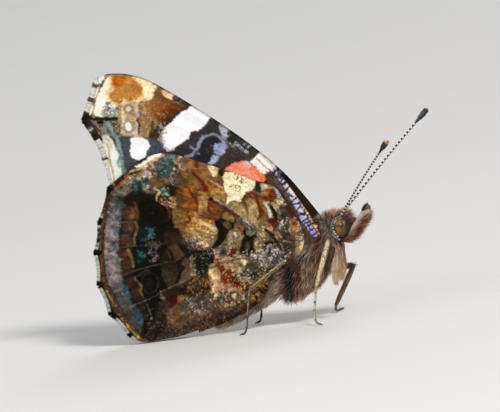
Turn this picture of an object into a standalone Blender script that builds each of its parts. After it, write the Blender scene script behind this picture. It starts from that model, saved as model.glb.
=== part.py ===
"""Red admiral butterfly at rest with its wings closed: a life-size still model, in metres with +Z up.

The head points along +X, the animal's right side is -Y, and the floor is Z = 0. All sizes below are in mm.
"""

import math

import bmesh
import bpy
from mathutils import Vector
from mathutils.geometry import delaunay_2d_cdt

MM = 0.001
GAP = 0.03

# Body: one straight axis that rises from the tip of the abdomen to the face
BODY_TIP = (-6.62, 0.97)
BODY_PITCH = math.radians(31.1)
BODY_SIDES = 20
BODY_STEP = 0.6
THORAX_SQUARENESS = 2.4
# Each station is (distance along the axis, half width, half height, drop below the axis, forward lean)
ABDOMEN_STATIONS = (
    (0.0, 0.30, 0.30, 0.0, 0.0),
    (0.5, 0.72, 0.74, 0.0, 0.0),
    (1.5, 1.10, 1.12, 0.0, 0.0),
    (3.0, 1.50, 1.50, 0.0, 0.0),
    (5.0, 1.85, 1.85, 0.0, 0.0),
    (7.0, 2.00, 2.02, 0.0, 0.1),
    (8.8, 1.98, 2.05, 0.1, 0.45),
    (10.2, 1.85, 1.90, 0.4, 0.83),
)
THORAX_STATIONS = (
    (10.25, 1.90, 2.00, 0.6, 0.83),
    (11.0, 2.25, 2.70, 0.95, 0.45),
    (12.4, 2.50, 3.25, 0.7, 0.25),
    (14.0, 2.50, 3.30, 0.25, 0.1),
    (15.4, 2.20, 3.00, 0.0, 0.0),
    (16.5, 1.85, 2.68, -0.2, 0.0),
    (17.2, 1.55, 2.35, -0.35, 0.0),
)
HEAD_STATIONS = (
    (17.25, 1.20, 1.90, -0.55, 0.0),
    (17.6, 1.40, 1.92, -0.5, 0.0),
    (18.2, 1.52, 1.80, -0.35, 0.0),
    (18.8, 1.55, 1.60, -0.15, 0.0),
    (19.4, 1.40, 1.38, 0.0, 0.0),
    (19.9, 1.05, 1.05, 0.0, 0.0),
    (20.15, 0.55, 0.55, 0.0, 0.0),
)

# Eyes, palps and coiled tongue, placed in body axes (along, side, up)
EYE_CENTRE = (18.75, 1.06, -0.2)
EYE_HALF_SIZE = (0.82, 0.72, 1.08)
EYE_TILT = math.radians(39.9)
PALP_PATH = ((9.05, 0.74, 8.95), (10.40, 0.70, 10.0), (11.65, 0.62, 11.3), (12.72, 0.52, 12.42))
PALP_RADII = (0.40, 0.54, 0.50, 0.30)
TONGUE_CENTRE = (9.85, 0.0, 8.95)
TONGUE_RADIUS = 0.62
TONGUE_HALF_WIDTH = 0.25

# Antennae: a straight shaft with a club at the end; the right one leans further out
ANTENNA_ROOT_RIGHT = (9.30, -0.48, 11.55)
ANTENNA_TIP_RIGHT = (18.04, -10.00, 20.62)
ANTENNA_ROOT_LEFT = (9.20, 0.48, 11.6)
ANTENNA_TIP_LEFT = (19.55, 9.30, 21.75)
ANTENNA_RADIUS = 0.25
CLUB_LENGTH = 2.3
CLUB_RADIUS = 0.42

# Wings: plates in the XZ plane, whose distance from the middle plane depends on the place
WING_THICKNESS = 0.5
WING_HINGE = (7.03, 10.8)
WING_GAP_AT_TIP = 0.32
WING_GAP_AT_HINGE = 1.95
WING_SPREAD_LENGTH = 13.0
HINDWING_OFFSET = 0.6
ABDOMEN_CLEARANCE = 0.45
WING_RIM_STEP = 0.75
WING_GRID_STEP = 2.2
FOREWING_COSTA = (
    (7.10, 10.95), (5.52, 13.80), (3.35, 17.40), (0.22, 21.05), (-4.47, 25.33), (-10.13, 29.79), (-12.5, 30.95),
)
FOREWING_TIP = ((-14.11, 31.35), (-15.58, 31.44), (-16.38, 31.03))
FOREWING_MARGIN = ((-17.13, 29.67), (-18.68, 26.52), (-17.75, 24.65), (-17.05, 22.40), (-16.85, 19.0), (-16.48, 16.02))
FOREWING_DORSUM = ((-15.9, 14.7), (-12.86, 13.44), (-1.36, 10.59), (4.48, 9.0), (6.3, 9.2), (7.2, 10.1))
HINDWING_COSTA = (
    (5.35, 9.90), (4.75, 12.20), (3.40, 14.82), (2.44, 16.25), (0.33, 17.17), (-2.73, 18.62), (-8.28, 21.2), (-10.29, 21.68),
)
HINDWING_APEX = ((-12.91, 21.19), (-15.03, 19.80))
HINDWING_TEETH = (
    (-17.15, 18.51), (-18.89, 14.77), (-19.93, 11.24), (-20.15, 7.51), (-19.33, 3.84), (-17.45, 1.20),
)
HINDWING_FOOT = ((-15.9, 0.0), (-12.5, 0.0))
HINDWING_DORSUM = ((-10.9, 0.15), (-6.3, 1.15), (-2.2, 2.65), (-0.35, 4.0), (0.35, 5.3), (1.3, 6.5), (2.6, 7.35), (4.6, 8.0))
SCALLOP_DEPTH = 0.22

# Legs: joints of the right side, or of both where the pose differs
MID_HIP = (6.9, 1.1, 5.6)
MID_KNEE_RIGHT = (8.32, 3.6, 9.69)
MID_ANKLE_RIGHT = (6.13, 4.2, 4.44)
MID_FOOT_RIGHT = ((5.50, 4.4, 1.7), (5.58, 4.55, 0.42), (6.15, 4.75, 0.14))
MID_KNEE_LEFT = (9.14, 4.2, 5.37)
MID_ANKLE_LEFT = (6.27, 4.4, 0.95)
MID_FOOT_LEFT = ((6.10, 5.1, 0.34), (6.20, 6.2, 0.17), (6.45, 7.6, 0.14))
HIND_HIP = (4.3, 1.2, 5.6)
HIND_KNEE = (2.99, 3.6, 7.81)
HIND_ANKLE = (-1.59, 4.2, 5.09)
HIND_FOOT = ((-2.30, 4.35, 2.2), (-2.75, 4.5, 0.42), (-3.35, 4.6, 0.14))
FORELEG_PATH = ((7.9, 1.2, 8.7), (8.65, 1.8, 8.3), (8.38, 1.95, 6.6), (7.95, 1.85, 4.05))
FORELEG_RADII = (0.28, 0.30, 0.42, 0.26)
FEMUR_RADIUS = 0.34
TIBIA_RADIUS = 0.29
TARSUS_RADIUS = 0.25
LEG_SIDES = 8


def clear_scene():
    for obj in list(bpy.data.objects):
        bpy.data.objects.remove(obj, do_unlink=True)


def make_material(name, colour, roughness):
    made = bpy.data.materials.new(name)
    made.use_nodes = True
    shader = made.node_tree.nodes["Principled BSDF"]
    shader.inputs["Base Color"].default_value = (*colour, 1.0)
    shader.inputs["Roughness"].default_value = roughness
    return made


def make_object(name, points, faces, material):
    """A closed mesh from points in mm, with its faces turned outwards."""
    mesh = bpy.data.meshes.new(name)
    mesh.from_pydata([Vector(point) * MM for point in points], [], faces)
    work = bmesh.new()
    work.from_mesh(mesh)
    bmesh.ops.triangulate(work, faces=work.faces)
    bmesh.ops.recalc_face_normals(work, faces=work.faces)
    if work.calc_volume(signed=True) < 0:
        bmesh.ops.reverse_faces(work, faces=work.faces)
    work.to_mesh(mesh)
    work.free()
    made = bpy.data.objects.new(name, mesh)
    if material is not None:
        mesh.materials.append(material)
    bpy.context.scene.collection.objects.link(made)
    return made


def cut(target, cutter):
    """Cuts a helper solid out of the target and keeps the helper out of the render."""
    cutter.hide_render = True
    cutter.display_type = "WIRE"
    modifier = target.modifiers.new("cut_" + cutter.name, "BOOLEAN")
    modifier.operation = "DIFFERENCE"
    modifier.solver = "EXACT"
    modifier.object = cutter


def smooth(value):
    value = min(1.0, max(0.0, value))
    return value * value * (3.0 - 2.0 * value)


def spline(values, t):
    """Catmull-Rom through rows of numbers; t counts rows."""
    i = min(int(t), len(values) - 2)
    f = t - i
    before, a, b, after = (values[max(i - 1, 0)], values[i], values[i + 1], values[min(i + 2, len(values) - 1)])
    return tuple(
        q + 0.5 * f * (r - p + f * (2 * p - 5 * q + 4 * r - s + f * (3 * (q - r) + s - p)))
        for p, q, r, s in zip(before, a, b, after)
    )


def body_point(along, side, up):
    x = BODY_TIP[0] + along * math.cos(BODY_PITCH) - up * math.sin(BODY_PITCH)
    z = BODY_TIP[1] + along * math.sin(BODY_PITCH) + up * math.cos(BODY_PITCH)
    return (x, side, z)


def skin_rings(rings):
    """Faces that join equal rings in order and cap both ends."""
    count = len(rings[0])
    points = [point for ring in rings for point in ring]
    faces = [tuple(range(count)), tuple(range(len(points) - 1, len(points) - 1 - count, -1))]
    for row in range(len(rings) - 1):
        for k in range(count):
            a, b = row * count + k, row * count + (k + 1) % count
            faces.append((a, b, b + count, a + count))
    return points, faces


def make_body_section(name, stations, material, squareness=2.0, grow=0.0):
    """A loft along the body axis with rounded-square sections, larger all round by grow."""
    steps = []
    for row in range(len(stations) - 1):
        count = max(1, round((stations[row + 1][0] - stations[row][0]) / BODY_STEP))
        steps += [row + k / count for k in range(count)]
    steps.append(len(stations) - 1)
    rings = []
    for t in steps:
        along, half_width, half_height, drop, lean = spline(stations, t)
        if t == steps[0]:
            along -= grow
        if t == steps[-1]:
            along += grow
        ring = []
        for k in range(BODY_SIDES):
            angle = 2 * math.pi * k / BODY_SIDES
            c, s = math.cos(angle), math.sin(angle)
            reach = (abs(c) ** squareness + abs(s) ** squareness) ** (-1.0 / squareness)
            side, up = (half_width + grow) * c * reach, (half_height + grow) * s * reach - drop
            ring.append(body_point(along + lean * up, side, up))
        rings.append(ring)
    return make_object(name, *skin_rings(rings), material)


def make_tube(name, path, radii, material, sides=LEG_SIDES, grow=0.0, floor=None, steps=3):
    """A round tube along a smooth path, with domed ends; floor flattens what would go under it."""
    count = (len(path) - 1) * steps
    centres = [Vector(spline(path, k / steps)) for k in range(count + 1)]
    sizes = [spline([(r,) for r in radii], k / steps)[0] + grow for k in range(count + 1)]
    first = (centres[1] - centres[0]).normalized()
    last = (centres[-1] - centres[-2]).normalized()
    stations = [(centres[0] - first * sizes[0] * 0.8, sizes[0] * 0.45)]
    stations += list(zip(centres, sizes))
    stations += [(centres[-1] + last * sizes[-1] * 0.8, sizes[-1] * 0.45)]
    across = first.orthogonal().normalized()
    rings = []
    for i, (centre, radius) in enumerate(stations):
        ahead = stations[min(i + 1, len(stations) - 1)][0] - stations[max(i - 1, 0)][0]
        ahead.normalize()
        across = (across - ahead * across.dot(ahead)).normalized()
        side = ahead.cross(across)
        ring = []
        for k in range(sides):
            angle = 2 * math.pi * (k + 0.5) / sides
            point = centre + (across * math.cos(angle) + side * math.sin(angle)) * radius
            if floor is not None:
                point.z = max(point.z, floor)
            ring.append(point)
        rings.append(ring)
    return make_object(name, *skin_rings(rings), material)


def make_eye(name, side, material, grow=0.0, segments=16, rings=9):
    """An upright ellipsoid: its long axis is tilted forwards from the line at right angles to the body."""
    a, b, c = (size + grow for size in EYE_HALF_SIZE)
    lean_cos, lean_sin = math.cos(EYE_TILT), math.sin(EYE_TILT)
    loops = []
    for row in range(1, rings):
        polar = math.pi * row / rings
        loop = []
        for k in range(segments):
            ahead = a * math.sin(polar) * math.cos(2 * math.pi * k / segments)
            outward = b * math.sin(polar) * math.sin(2 * math.pi * k / segments)
            upward = -c * math.cos(polar)
            loop.append(body_point(
                EYE_CENTRE[0] + ahead * lean_cos + upward * lean_sin,
                side * EYE_CENTRE[1] + outward,
                EYE_CENTRE[2] - ahead * lean_sin + upward * lean_cos,
            ))
        loops.append(loop)
    return make_object(name, *skin_rings(loops), material)


def make_disc(name, centre, radius, half_width, material, sides=18):
    """A wheel-shaped coil across the Y axis, with rounded edges."""
    profile = ((-half_width, 0.55), (-half_width * 0.6, 1.0), (half_width * 0.6, 1.0), (half_width, 0.55))
    rings = [
        [
            (
                centre[0] + radius * size * math.cos(2 * math.pi * k / sides),
                centre[1] + y,
                centre[2] + radius * size * math.sin(2 * math.pi * k / sides),
            )
            for k in range(sides)
        ]
        for y, size in profile
    ]
    return make_object(name, *skin_rings(rings), material)


def abdomen_half_width(along):
    row = 0
    while row < len(ABDOMEN_STATIONS) - 2 and ABDOMEN_STATIONS[row + 1][0] < along:
        row += 1
    a, b = ABDOMEN_STATIONS[row : row + 2]
    return a[1] + (b[1] - a[1]) * min(1.0, max(0.0, (along - a[0]) / (b[0] - a[0])))


def forewing_side(x, z):
    """Distance of the forewing's mid surface from the middle plane."""
    reach = math.hypot(x - WING_HINGE[0], z - WING_HINGE[1]) / WING_SPREAD_LENGTH
    return WING_GAP_AT_TIP + (WING_GAP_AT_HINGE - WING_GAP_AT_TIP) * (1.0 - smooth(reach))


def hindwing_side(x, z):
    """As for the forewing, one layer further out, and clear of the abdomen between the two hindwings."""
    dx, dz = x - BODY_TIP[0], z - BODY_TIP[1]
    along = min(12.0, max(0.0, dx * math.cos(BODY_PITCH) + dz * math.sin(BODY_PITCH)))
    off = math.hypot(dx - along * math.cos(BODY_PITCH), dz - along * math.sin(BODY_PITCH))
    width = abdomen_half_width(along)
    clear = (width + ABDOMEN_CLEARANCE) * (1.0 - smooth((off - width) / 3.5))
    return max(forewing_side(x, z) + HINDWING_OFFSET, clear)


def sample(points, closed_step=WING_RIM_STEP):
    """Points at an even step along a smooth line through the given ones, without the last."""
    out = []
    for row in range(len(points) - 1):
        length = math.dist(points[row], points[row + 1])
        count = max(1, round(length / closed_step))
        out += [spline(points, row + k / count) for k in range(count)]
    return out


def scalloped(teeth, depth):
    """The outer margin between vein ends, drawn in a little between each pair."""
    out = []
    for a, b in zip(teeth, teeth[1:]):
        length = math.dist(a, b)
        inward = ((b[1] - a[1]) / length, -(b[0] - a[0]) / length)
        if inward[0] < 0:
            inward = (-inward[0], -inward[1])
        for k in range(5):
            f = k / 5
            dip = depth * math.sin(math.pi * f) ** 0.8 if k else 0.0
            out.append((a[0] + (b[0] - a[0]) * f + inward[0] * dip, a[1] + (b[1] - a[1]) * f + inward[1] * dip))
    return out


def forewing_outline():
    lead = FOREWING_COSTA + FOREWING_TIP + FOREWING_MARGIN[:2]
    trail = FOREWING_MARGIN[1:] + FOREWING_DORSUM
    return sample(lead) + sample(trail) + [trail[-1]]


def hindwing_outline():
    lead = HINDWING_COSTA + HINDWING_APEX + HINDWING_TEETH[:1]
    foot = (HINDWING_TEETH[-1],) + HINDWING_FOOT[:1]
    return (
        sample(lead) + scalloped(HINDWING_TEETH, SCALLOP_DEPTH) + list(foot)
        + sample(HINDWING_FOOT[1:] + HINDWING_DORSUM) + [HINDWING_DORSUM[-1]]
    )


def make_wing(name, outline, side_at, side, material):
    """A plate of even thickness that follows the side distance at every point."""
    low_x, low_z = min(p[0] for p in outline), min(p[1] for p in outline)
    high_x, high_z = max(p[0] for p in outline), max(p[1] for p in outline)
    inside = []
    rows = int((high_z - low_z) / WING_GRID_STEP)
    for j in range(rows + 1):
        for i in range(int((high_x - low_x) / WING_GRID_STEP) + 1):
            x = low_x + (i + 0.5 * (j % 2)) * WING_GRID_STEP
            z = low_z + (j + 0.5) * WING_GRID_STEP
            if min(math.dist((x, z), p) for p in outline) > 0.6 * WING_GRID_STEP:
                inside.append((x, z))
    loop = list(range(len(outline)))
    edges = [(k, (k + 1) % len(outline)) for k in loop]
    flat, _, faces, *_ = delaunay_2d_cdt([Vector(p) for p in outline + inside], edges, [loop], 1, 1e-4)
    half = WING_THICKNESS / 2
    points = []
    for offset in (-half, half):
        points += [(p.x, side * (side_at(p.x, p.y) + offset), p.y) for p in flat]
    count = len(flat)
    shell = [tuple(f) for f in faces] + [tuple(k + count for k in reversed(f)) for f in faces]
    uses = {}
    for face in faces:
        for a, b in zip(face, list(face[1:]) + [face[0]]):
            uses[(a, b)] = 1
    for a, b in uses:
        if (b, a) not in uses:
            shell.append((b, a, a + count, b + count))
    return make_object(name, points, shell, material)


def mirrored(path, side):
    return tuple((x, y * side, z) for x, y, z in path)


def make_leg(name, hip, knee, ankle, foot, side, thorax_cutter, tan, brown):
    """Femur, tibia and tarsus as three solids that meet in fitted ends."""
    hip, knee, ankle = mirrored((hip, knee, ankle), side)
    foot = mirrored(foot, side)
    tibia_radii = (TIBIA_RADIUS * 0.95, TIBIA_RADIUS, TIBIA_RADIUS * 0.9)
    middle = tuple((a + b) / 2 for a, b in zip(knee, ankle))
    tibia_path = (knee, middle, ankle)
    make_tube(name + "_tibia", tibia_path, tibia_radii, tan, steps=2)
    tibia_cutter = make_tube(name + "_tibia_cutter", tibia_path, tibia_radii, None, grow=GAP, steps=2)
    knee_end = Vector(knee) + (Vector(hip) - Vector(knee)).normalized() * FEMUR_RADIUS
    femur = make_tube(name + "_femur", (hip, knee_end), (FEMUR_RADIUS, FEMUR_RADIUS * 0.8), brown, steps=2)
    cut(femur, tibia_cutter)
    cut(femur, thorax_cutter)
    radii = (TARSUS_RADIUS,) * (len(foot) + 1)
    tarsus = make_tube(name + "_tarsus", (ankle, *foot), radii, tan, floor=0.0)
    cut(tarsus, tibia_cutter)


def make_antenna(side_name, root, tip, head_cutter, dark, club_material):
    start, end = Vector(root), Vector(tip)
    ahead = (end - start).normalized()
    neck = end - ahead * CLUB_LENGTH
    shaft = make_tube("antenna_" + side_name, (start, (start + neck) / 2, neck), (ANTENNA_RADIUS,) * 3, dark, steps=1)
    cut(shaft, head_cutter)
    swell = [neck + ahead * CLUB_LENGTH * f for f in (0.16, 0.45, 0.75, 0.90)]
    radii = (ANTENNA_RADIUS, CLUB_RADIUS * 0.85, CLUB_RADIUS, CLUB_RADIUS * 0.75)
    club = make_tube("antenna_club_" + side_name, swell, radii, club_material, steps=2)
    shaft_cutter = make_tube(
        "antenna_cutter_" + side_name, (start, (start + neck) / 2, neck), (ANTENNA_RADIUS,) * 3, None, grow=GAP, steps=1
    )
    cut(club, shaft_cutter)


def build():
    clear_scene()
    fur = make_material("body_fur", (0.16, 0.10, 0.06), 0.9)
    belly = make_material("abdomen_fur", (0.20, 0.13, 0.08), 0.9)
    face = make_material("head_fur", (0.17, 0.09, 0.07), 0.9)
    eye_brown = make_material("eye", (0.10, 0.05, 0.03), 0.25)
    palp = make_material("palp_hair", (0.30, 0.20, 0.14), 0.85)
    tongue = make_material("tongue", (0.12, 0.07, 0.04), 0.4)
    black = make_material("antenna_black", (0.03, 0.03, 0.03), 0.5)
    cream = make_material("antenna_tip", (0.25, 0.18, 0.10), 0.6)
    forewing_skin = make_material("forewing", (0.15, 0.11, 0.09), 0.7)
    hindwing_skin = make_material("hindwing", (0.20, 0.14, 0.09), 0.7)
    tan = make_material("leg_tan", (0.45, 0.33, 0.20), 0.6)
    brown = make_material("leg_brown", (0.20, 0.13, 0.08), 0.7)
    brush = make_material("foreleg_hair", (0.33, 0.22, 0.15), 0.9)

    make_body_section("abdomen", ABDOMEN_STATIONS, belly)
    make_body_section("thorax", THORAX_STATIONS, fur, THORAX_SQUARENESS)
    thorax_cutter = make_body_section("thorax_cutter", THORAX_STATIONS, None, THORAX_SQUARENESS, grow=GAP)
    head = make_body_section("head", HEAD_STATIONS, face)
    head_cutter = make_body_section("head_cutter", HEAD_STATIONS, None, grow=GAP)
    coil = make_disc("proboscis", TONGUE_CENTRE, TONGUE_RADIUS, TONGUE_HALF_WIDTH, tongue)
    coil_cutter = make_disc("coil_cutter", TONGUE_CENTRE, TONGUE_RADIUS + GAP, TONGUE_HALF_WIDTH + GAP, None)
    cut(coil, head_cutter)
    cut(coil, thorax_cutter)

    for side_name, side in (("right", -1), ("left", 1)):
        make_eye("eye_" + side_name, side, eye_brown)
        eye_cutter = make_eye("eye_cutter_" + side_name, side, None, grow=GAP)
        cut(head, eye_cutter)
        part = make_tube("palp_" + side_name, mirrored(PALP_PATH, side), PALP_RADII, palp, sides=10, steps=2)
        for cutter in (head_cutter, thorax_cutter, coil_cutter, eye_cutter):
            cut(part, cutter)
        wing = make_wing("forewing_" + side_name, forewing_outline(), forewing_side, side, forewing_skin)
        cut(wing, thorax_cutter)
        wing = make_wing("hindwing_" + side_name, hindwing_outline(), hindwing_side, side, hindwing_skin)
        cut(wing, thorax_cutter)
        foreleg = make_tube("foreleg_" + side_name, mirrored(FORELEG_PATH, side), FORELEG_RADII, brush, steps=2)
        cut(foreleg, thorax_cutter)
        make_leg("hindleg_" + side_name, HIND_HIP, HIND_KNEE, HIND_ANKLE, HIND_FOOT, side, thorax_cutter, tan, brown)

    make_leg("midleg_right", MID_HIP, MID_KNEE_RIGHT, MID_ANKLE_RIGHT, MID_FOOT_RIGHT, -1, thorax_cutter, tan, brown)
    make_leg("midleg_left", MID_HIP, MID_KNEE_LEFT, MID_ANKLE_LEFT, MID_FOOT_LEFT, 1, thorax_cutter, tan, brown)
    make_antenna("right", ANTENNA_ROOT_RIGHT, ANTENNA_TIP_RIGHT, head_cutter, black, cream)
    make_antenna("left", ANTENNA_ROOT_LEFT, ANTENNA_TIP_LEFT, head_cutter, black, cream)


build()
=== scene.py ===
"""Red admiral butterfly at rest with its wings closed: skin, scales, fur, eyes, feelers and legs around the CAD solids.

The head points along +X, the animal's right side is -Y and the floor is Z = 0. Sizes in the code are in mm.
"""

import math

import bpy
import numpy as np
from bpy.props import FloatProperty, FloatVectorProperty, IntProperty, PointerProperty
from mathutils import Matrix, Vector
from mathutils.geometry import delaunay_2d_cdt


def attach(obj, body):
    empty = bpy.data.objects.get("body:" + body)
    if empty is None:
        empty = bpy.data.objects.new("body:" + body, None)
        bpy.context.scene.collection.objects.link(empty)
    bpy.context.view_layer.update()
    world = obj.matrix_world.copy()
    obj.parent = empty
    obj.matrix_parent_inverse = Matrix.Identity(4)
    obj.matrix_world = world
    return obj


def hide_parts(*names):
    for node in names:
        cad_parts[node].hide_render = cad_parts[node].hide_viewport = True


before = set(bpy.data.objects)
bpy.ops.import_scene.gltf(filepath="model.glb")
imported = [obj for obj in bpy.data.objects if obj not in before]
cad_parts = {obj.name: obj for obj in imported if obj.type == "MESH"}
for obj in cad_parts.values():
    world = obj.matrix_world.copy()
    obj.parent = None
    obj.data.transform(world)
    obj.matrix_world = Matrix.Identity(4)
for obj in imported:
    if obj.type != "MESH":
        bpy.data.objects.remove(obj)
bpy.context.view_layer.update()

bl_info = {
    "name": "Red Admiral Butterfly",
    "version": (1, 0, 0),
    "blender": (4, 5, 0),
    "location": "3D View > Sidebar > Butterfly",
    "description": "Builds a life-size red admiral at rest with its wings closed",
    "category": "Add Mesh",
}

MM = 0.001
SIDES = (("right", -1), ("left", 1))

# Body: the same axis and stations as the solids, as (along, half width, half height, drop, lean)
BODY_TIP = (-6.62, 0.97)
BODY_PITCH = math.radians(31.1)
BODY_LENGTH = 20.15
STATIONS = np.array((
    (0.0, 0.30, 0.30, 0.0, 0.0),
    (0.5, 0.72, 0.74, 0.0, 0.0),
    (1.5, 1.10, 1.12, 0.0, 0.0),
    (3.0, 1.50, 1.50, 0.0, 0.0),
    (5.0, 1.85, 1.85, 0.0, 0.0),
    (7.0, 2.00, 2.02, 0.0, 0.1),
    (8.8, 1.98, 2.05, 0.1, 0.45),
    (10.2, 1.90, 2.00, 0.5, 0.83),
    (11.0, 2.25, 2.70, 0.95, 0.45),
    (12.4, 2.50, 3.25, 0.7, 0.25),
    (14.0, 2.50, 3.30, 0.25, 0.1),
    (15.4, 2.20, 3.00, 0.0, 0.0),
    (16.5, 1.85, 2.68, -0.2, 0.0),
    (17.2, 1.42, 2.10, -0.42, 0.0),
    (17.6, 1.40, 1.92, -0.5, 0.0),
    (18.2, 1.52, 1.80, -0.35, 0.0),
    (18.8, 1.55, 1.60, -0.15, 0.0),
    (19.4, 1.40, 1.38, 0.0, 0.0),
    (19.9, 1.05, 1.05, 0.0, 0.0),
    (20.15, 0.55, 0.55, 0.0, 0.0),
))
EYE_CENTRE = (18.72, 1.06, -0.22)
EYE_HALF_SIZE = (0.94, 0.74, 1.1)
EYE_TILT = math.radians(39.9)
PALP_PATH = ((9.05, 0.74, 8.95), (10.40, 0.70, 10.0), (11.65, 0.62, 11.3), (12.72, 0.52, 12.42))
TONGUE_CENTRE = (9.85, 0.0, 8.95)
ANTENNAE = {-1: ((9.30, -0.48, 11.55), (18.04, -10.00, 20.62)), 1: ((9.20, 0.48, 11.6), (19.55, 9.30, 21.75))}

# Wings: outlines in the XZ plane, and how far their faces lie from the middle plane
WING_HINGE = (7.03, 10.8)
WING_GAP_AT_TIP = 0.32
WING_GAP_AT_HINGE = 1.95
WING_SPREAD_LENGTH = 13.0
ABDOMEN_CLEARANCE = 0.45
FOREWING_COSTA = (
    (7.10, 10.95), (5.52, 13.80), (3.35, 17.40), (0.22, 21.05), (-4.47, 25.33), (-10.13, 29.79), (-12.5, 30.95),
)
FOREWING_TIP = ((-14.11, 31.35), (-15.58, 31.44), (-16.38, 31.03))
FOREWING_MARGIN = ((-17.13, 29.67), (-18.68, 26.52), (-17.75, 24.65), (-17.05, 22.40), (-16.85, 19.0), (-16.48, 16.02))
FOREWING_DORSUM = ((-15.9, 14.7), (-12.86, 13.44), (-1.36, 10.59), (4.48, 9.0), (6.3, 9.2), (7.2, 10.1))
HINDWING_COSTA = (
    (5.35, 9.90), (4.75, 12.20), (3.40, 14.82), (2.44, 16.25), (0.33, 17.17), (-2.73, 18.62), (-8.28, 21.2), (-10.29, 21.68),
)
HINDWING_APEX = ((-12.91, 21.19), (-15.03, 19.80))
HINDWING_TEETH = (
    (-17.15, 18.51), (-18.89, 14.77), (-19.93, 11.24), (-20.15, 7.51), (-19.33, 3.84), (-17.45, 1.20),
)
HINDWING_FOOT = ((-15.9, 0.0), (-12.5, 0.0))
HINDWING_DORSUM = ((-10.9, 0.15), (-6.3, 1.15), (-2.2, 2.65), (-0.35, 4.0), (0.35, 5.3), (1.3, 6.5), (2.6, 7.35), (4.6, 8.0))
SCALLOP_DEPTH = 0.22

# Legs: hip, knee, ankle and foot of each leg
MID_HIP = (6.9, 1.1, 5.6)
HIND_HIP = (4.3, 1.2, 5.6)
LEGS = {
    "midleg_right": (MID_HIP, (8.32, 3.6, 9.69), (6.13, 4.2, 4.44), ((5.50, 4.4, 1.7), (5.58, 4.55, 0.42), (6.15, 4.75, 0.14))),
    "midleg_left": (MID_HIP, (9.14, 4.2, 5.37), (6.27, 4.4, 0.95), ((6.10, 5.1, 0.34), (6.20, 6.2, 0.17), (6.45, 7.6, 0.14))),
    "hindleg_right": (HIND_HIP, (2.99, 3.6, 7.81), (-1.59, 4.2, 5.09), ((-2.30, 4.35, 2.2), (-2.75, 4.5, 0.42), (-3.35, 4.6, 0.14))),
    "hindleg_left": (HIND_HIP, (2.99, 3.6, 7.81), (-1.59, 4.2, 5.09), ((-2.30, 4.35, 2.2), (-2.75, 4.5, 0.42), (-3.35, 4.6, 0.14))),
}
FORELEG_PATH = ((7.9, 1.2, 8.7), (8.65, 1.8, 8.3), (8.38, 1.95, 6.6), (7.95, 1.85, 4.05))

# The chart: a flat sheet laid over the closed wings, on which every marking has its place. One step is CHART_STEP mm.
CHART_STEP = 0.115
CHART_ORIGIN = (256.0, 328.7)
CHART_SHIFT = 2.5
CHART_TURN = math.radians(8.8)
CHART_SWING = math.radians(12.0)
CHART_TILT = math.radians(6.0)


def smooth_step(x):
    x = np.clip(x, 0.0, 1.0)
    return x * x * (3.0 - 2.0 * x)


def chart_axes():
    """Chart axes in the model's frame: to the right, and up."""
    right = np.array((math.cos(CHART_SWING), math.sin(CHART_SWING), 0.0))
    up = np.array((
        -math.sin(CHART_SWING) * math.sin(CHART_TILT),
        math.cos(CHART_SWING) * math.sin(CHART_TILT),
        math.cos(CHART_TILT),
    ))
    c, s = math.cos(CHART_TURN), math.sin(CHART_TURN)
    return right * c - up * s, right * s + up * c


def to_chart(points):
    """Chart places (u to the right, v down) of points in mm; the left half is read as its mirror image."""
    right, up = chart_axes()
    p = np.column_stack((points[:, 0] + CHART_SHIFT, -np.abs(points[:, 1]), points[:, 2]))
    return CHART_ORIGIN[0] + p @ right / CHART_STEP, CHART_ORIGIN[1] - p @ up / CHART_STEP


def linear(colour):
    """Linear light from display values of 0 to 1."""
    c = np.clip(np.asarray(colour, float), 0.0, 1.0)
    return np.where(c <= 0.04045, c / 12.92, ((c + 0.055) / 1.055) ** 2.4)


def tone(red, green, blue):
    """A linear colour with alpha from display values of 0 to 255."""
    return (*linear(np.array((red, green, blue)) / 255.0).tolist(), 1.0)


def lattice(i, j, seed):
    """A fixed random number from 0 to 1 for each whole-number place."""
    n = (i.astype(np.int64) * 374761393 + j.astype(np.int64) * 668265263 + seed * 1274126177) & 0xFFFFFFFF
    n = ((n ^ (n >> 13)) * 1274126177) & 0xFFFFFFFF
    n = ((n ^ (n >> 16)) * 2246822519) & 0xFFFFFFFF
    return ((n ^ (n >> 15)) & 0xFFFFFF) / float(0xFFFFFF)

def noise(u, v, size, seed):
    x, y = u / size, v / size
    i, j = np.floor(x), np.floor(y)
    fx, fy = smooth_step(x - i), smooth_step(y - j)
    a, b = lattice(i, j, seed), lattice(i + 1, j, seed)
    c, d = lattice(i, j + 1, seed), lattice(i + 1, j + 1, seed)
    return (a * (1 - fx) + b * fx) * (1 - fy) + (c * (1 - fx) + d * fx) * fy

def cloud(u, v, size, seed):
    return 0.55 * noise(u, v, size, seed) + 0.3 * noise(u, v, size * 0.47, seed + 7) + 0.15 * noise(u, v, size * 0.21, seed + 13)

def spots(text):
    """Points of the chart written as "u,v u,v", or already a list."""
    return np.array([[float(n) for n in pair.split(",")] for pair in text.split()] if isinstance(text, str) else text, float)

def rounded(points, closed):
    """Catmull-Rom rounding of a short list of points, four steps to each."""
    p = spots(points)
    n = len(p)
    if n < 3:
        return p
    out = []
    last = n if closed else n - 1
    for i in range(last):
        if closed:
            a, b, c, d = p[i - 1], p[i], p[(i + 1) % n], p[(i + 2) % n]
        else:
            a, b, c, d = p[max(i - 1, 0)], p[i], p[i + 1], p[min(i + 2, n - 1)]
        for f in (0.0, 0.25, 0.5, 0.75):
            out.append(b + 0.5 * f * (c - a + f * (2 * a - 5 * b + 4 * c - d + f * (3 * (b - c) + d - a))))
    if not closed:
        out.append(p[-1])
    return np.array(out)

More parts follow.
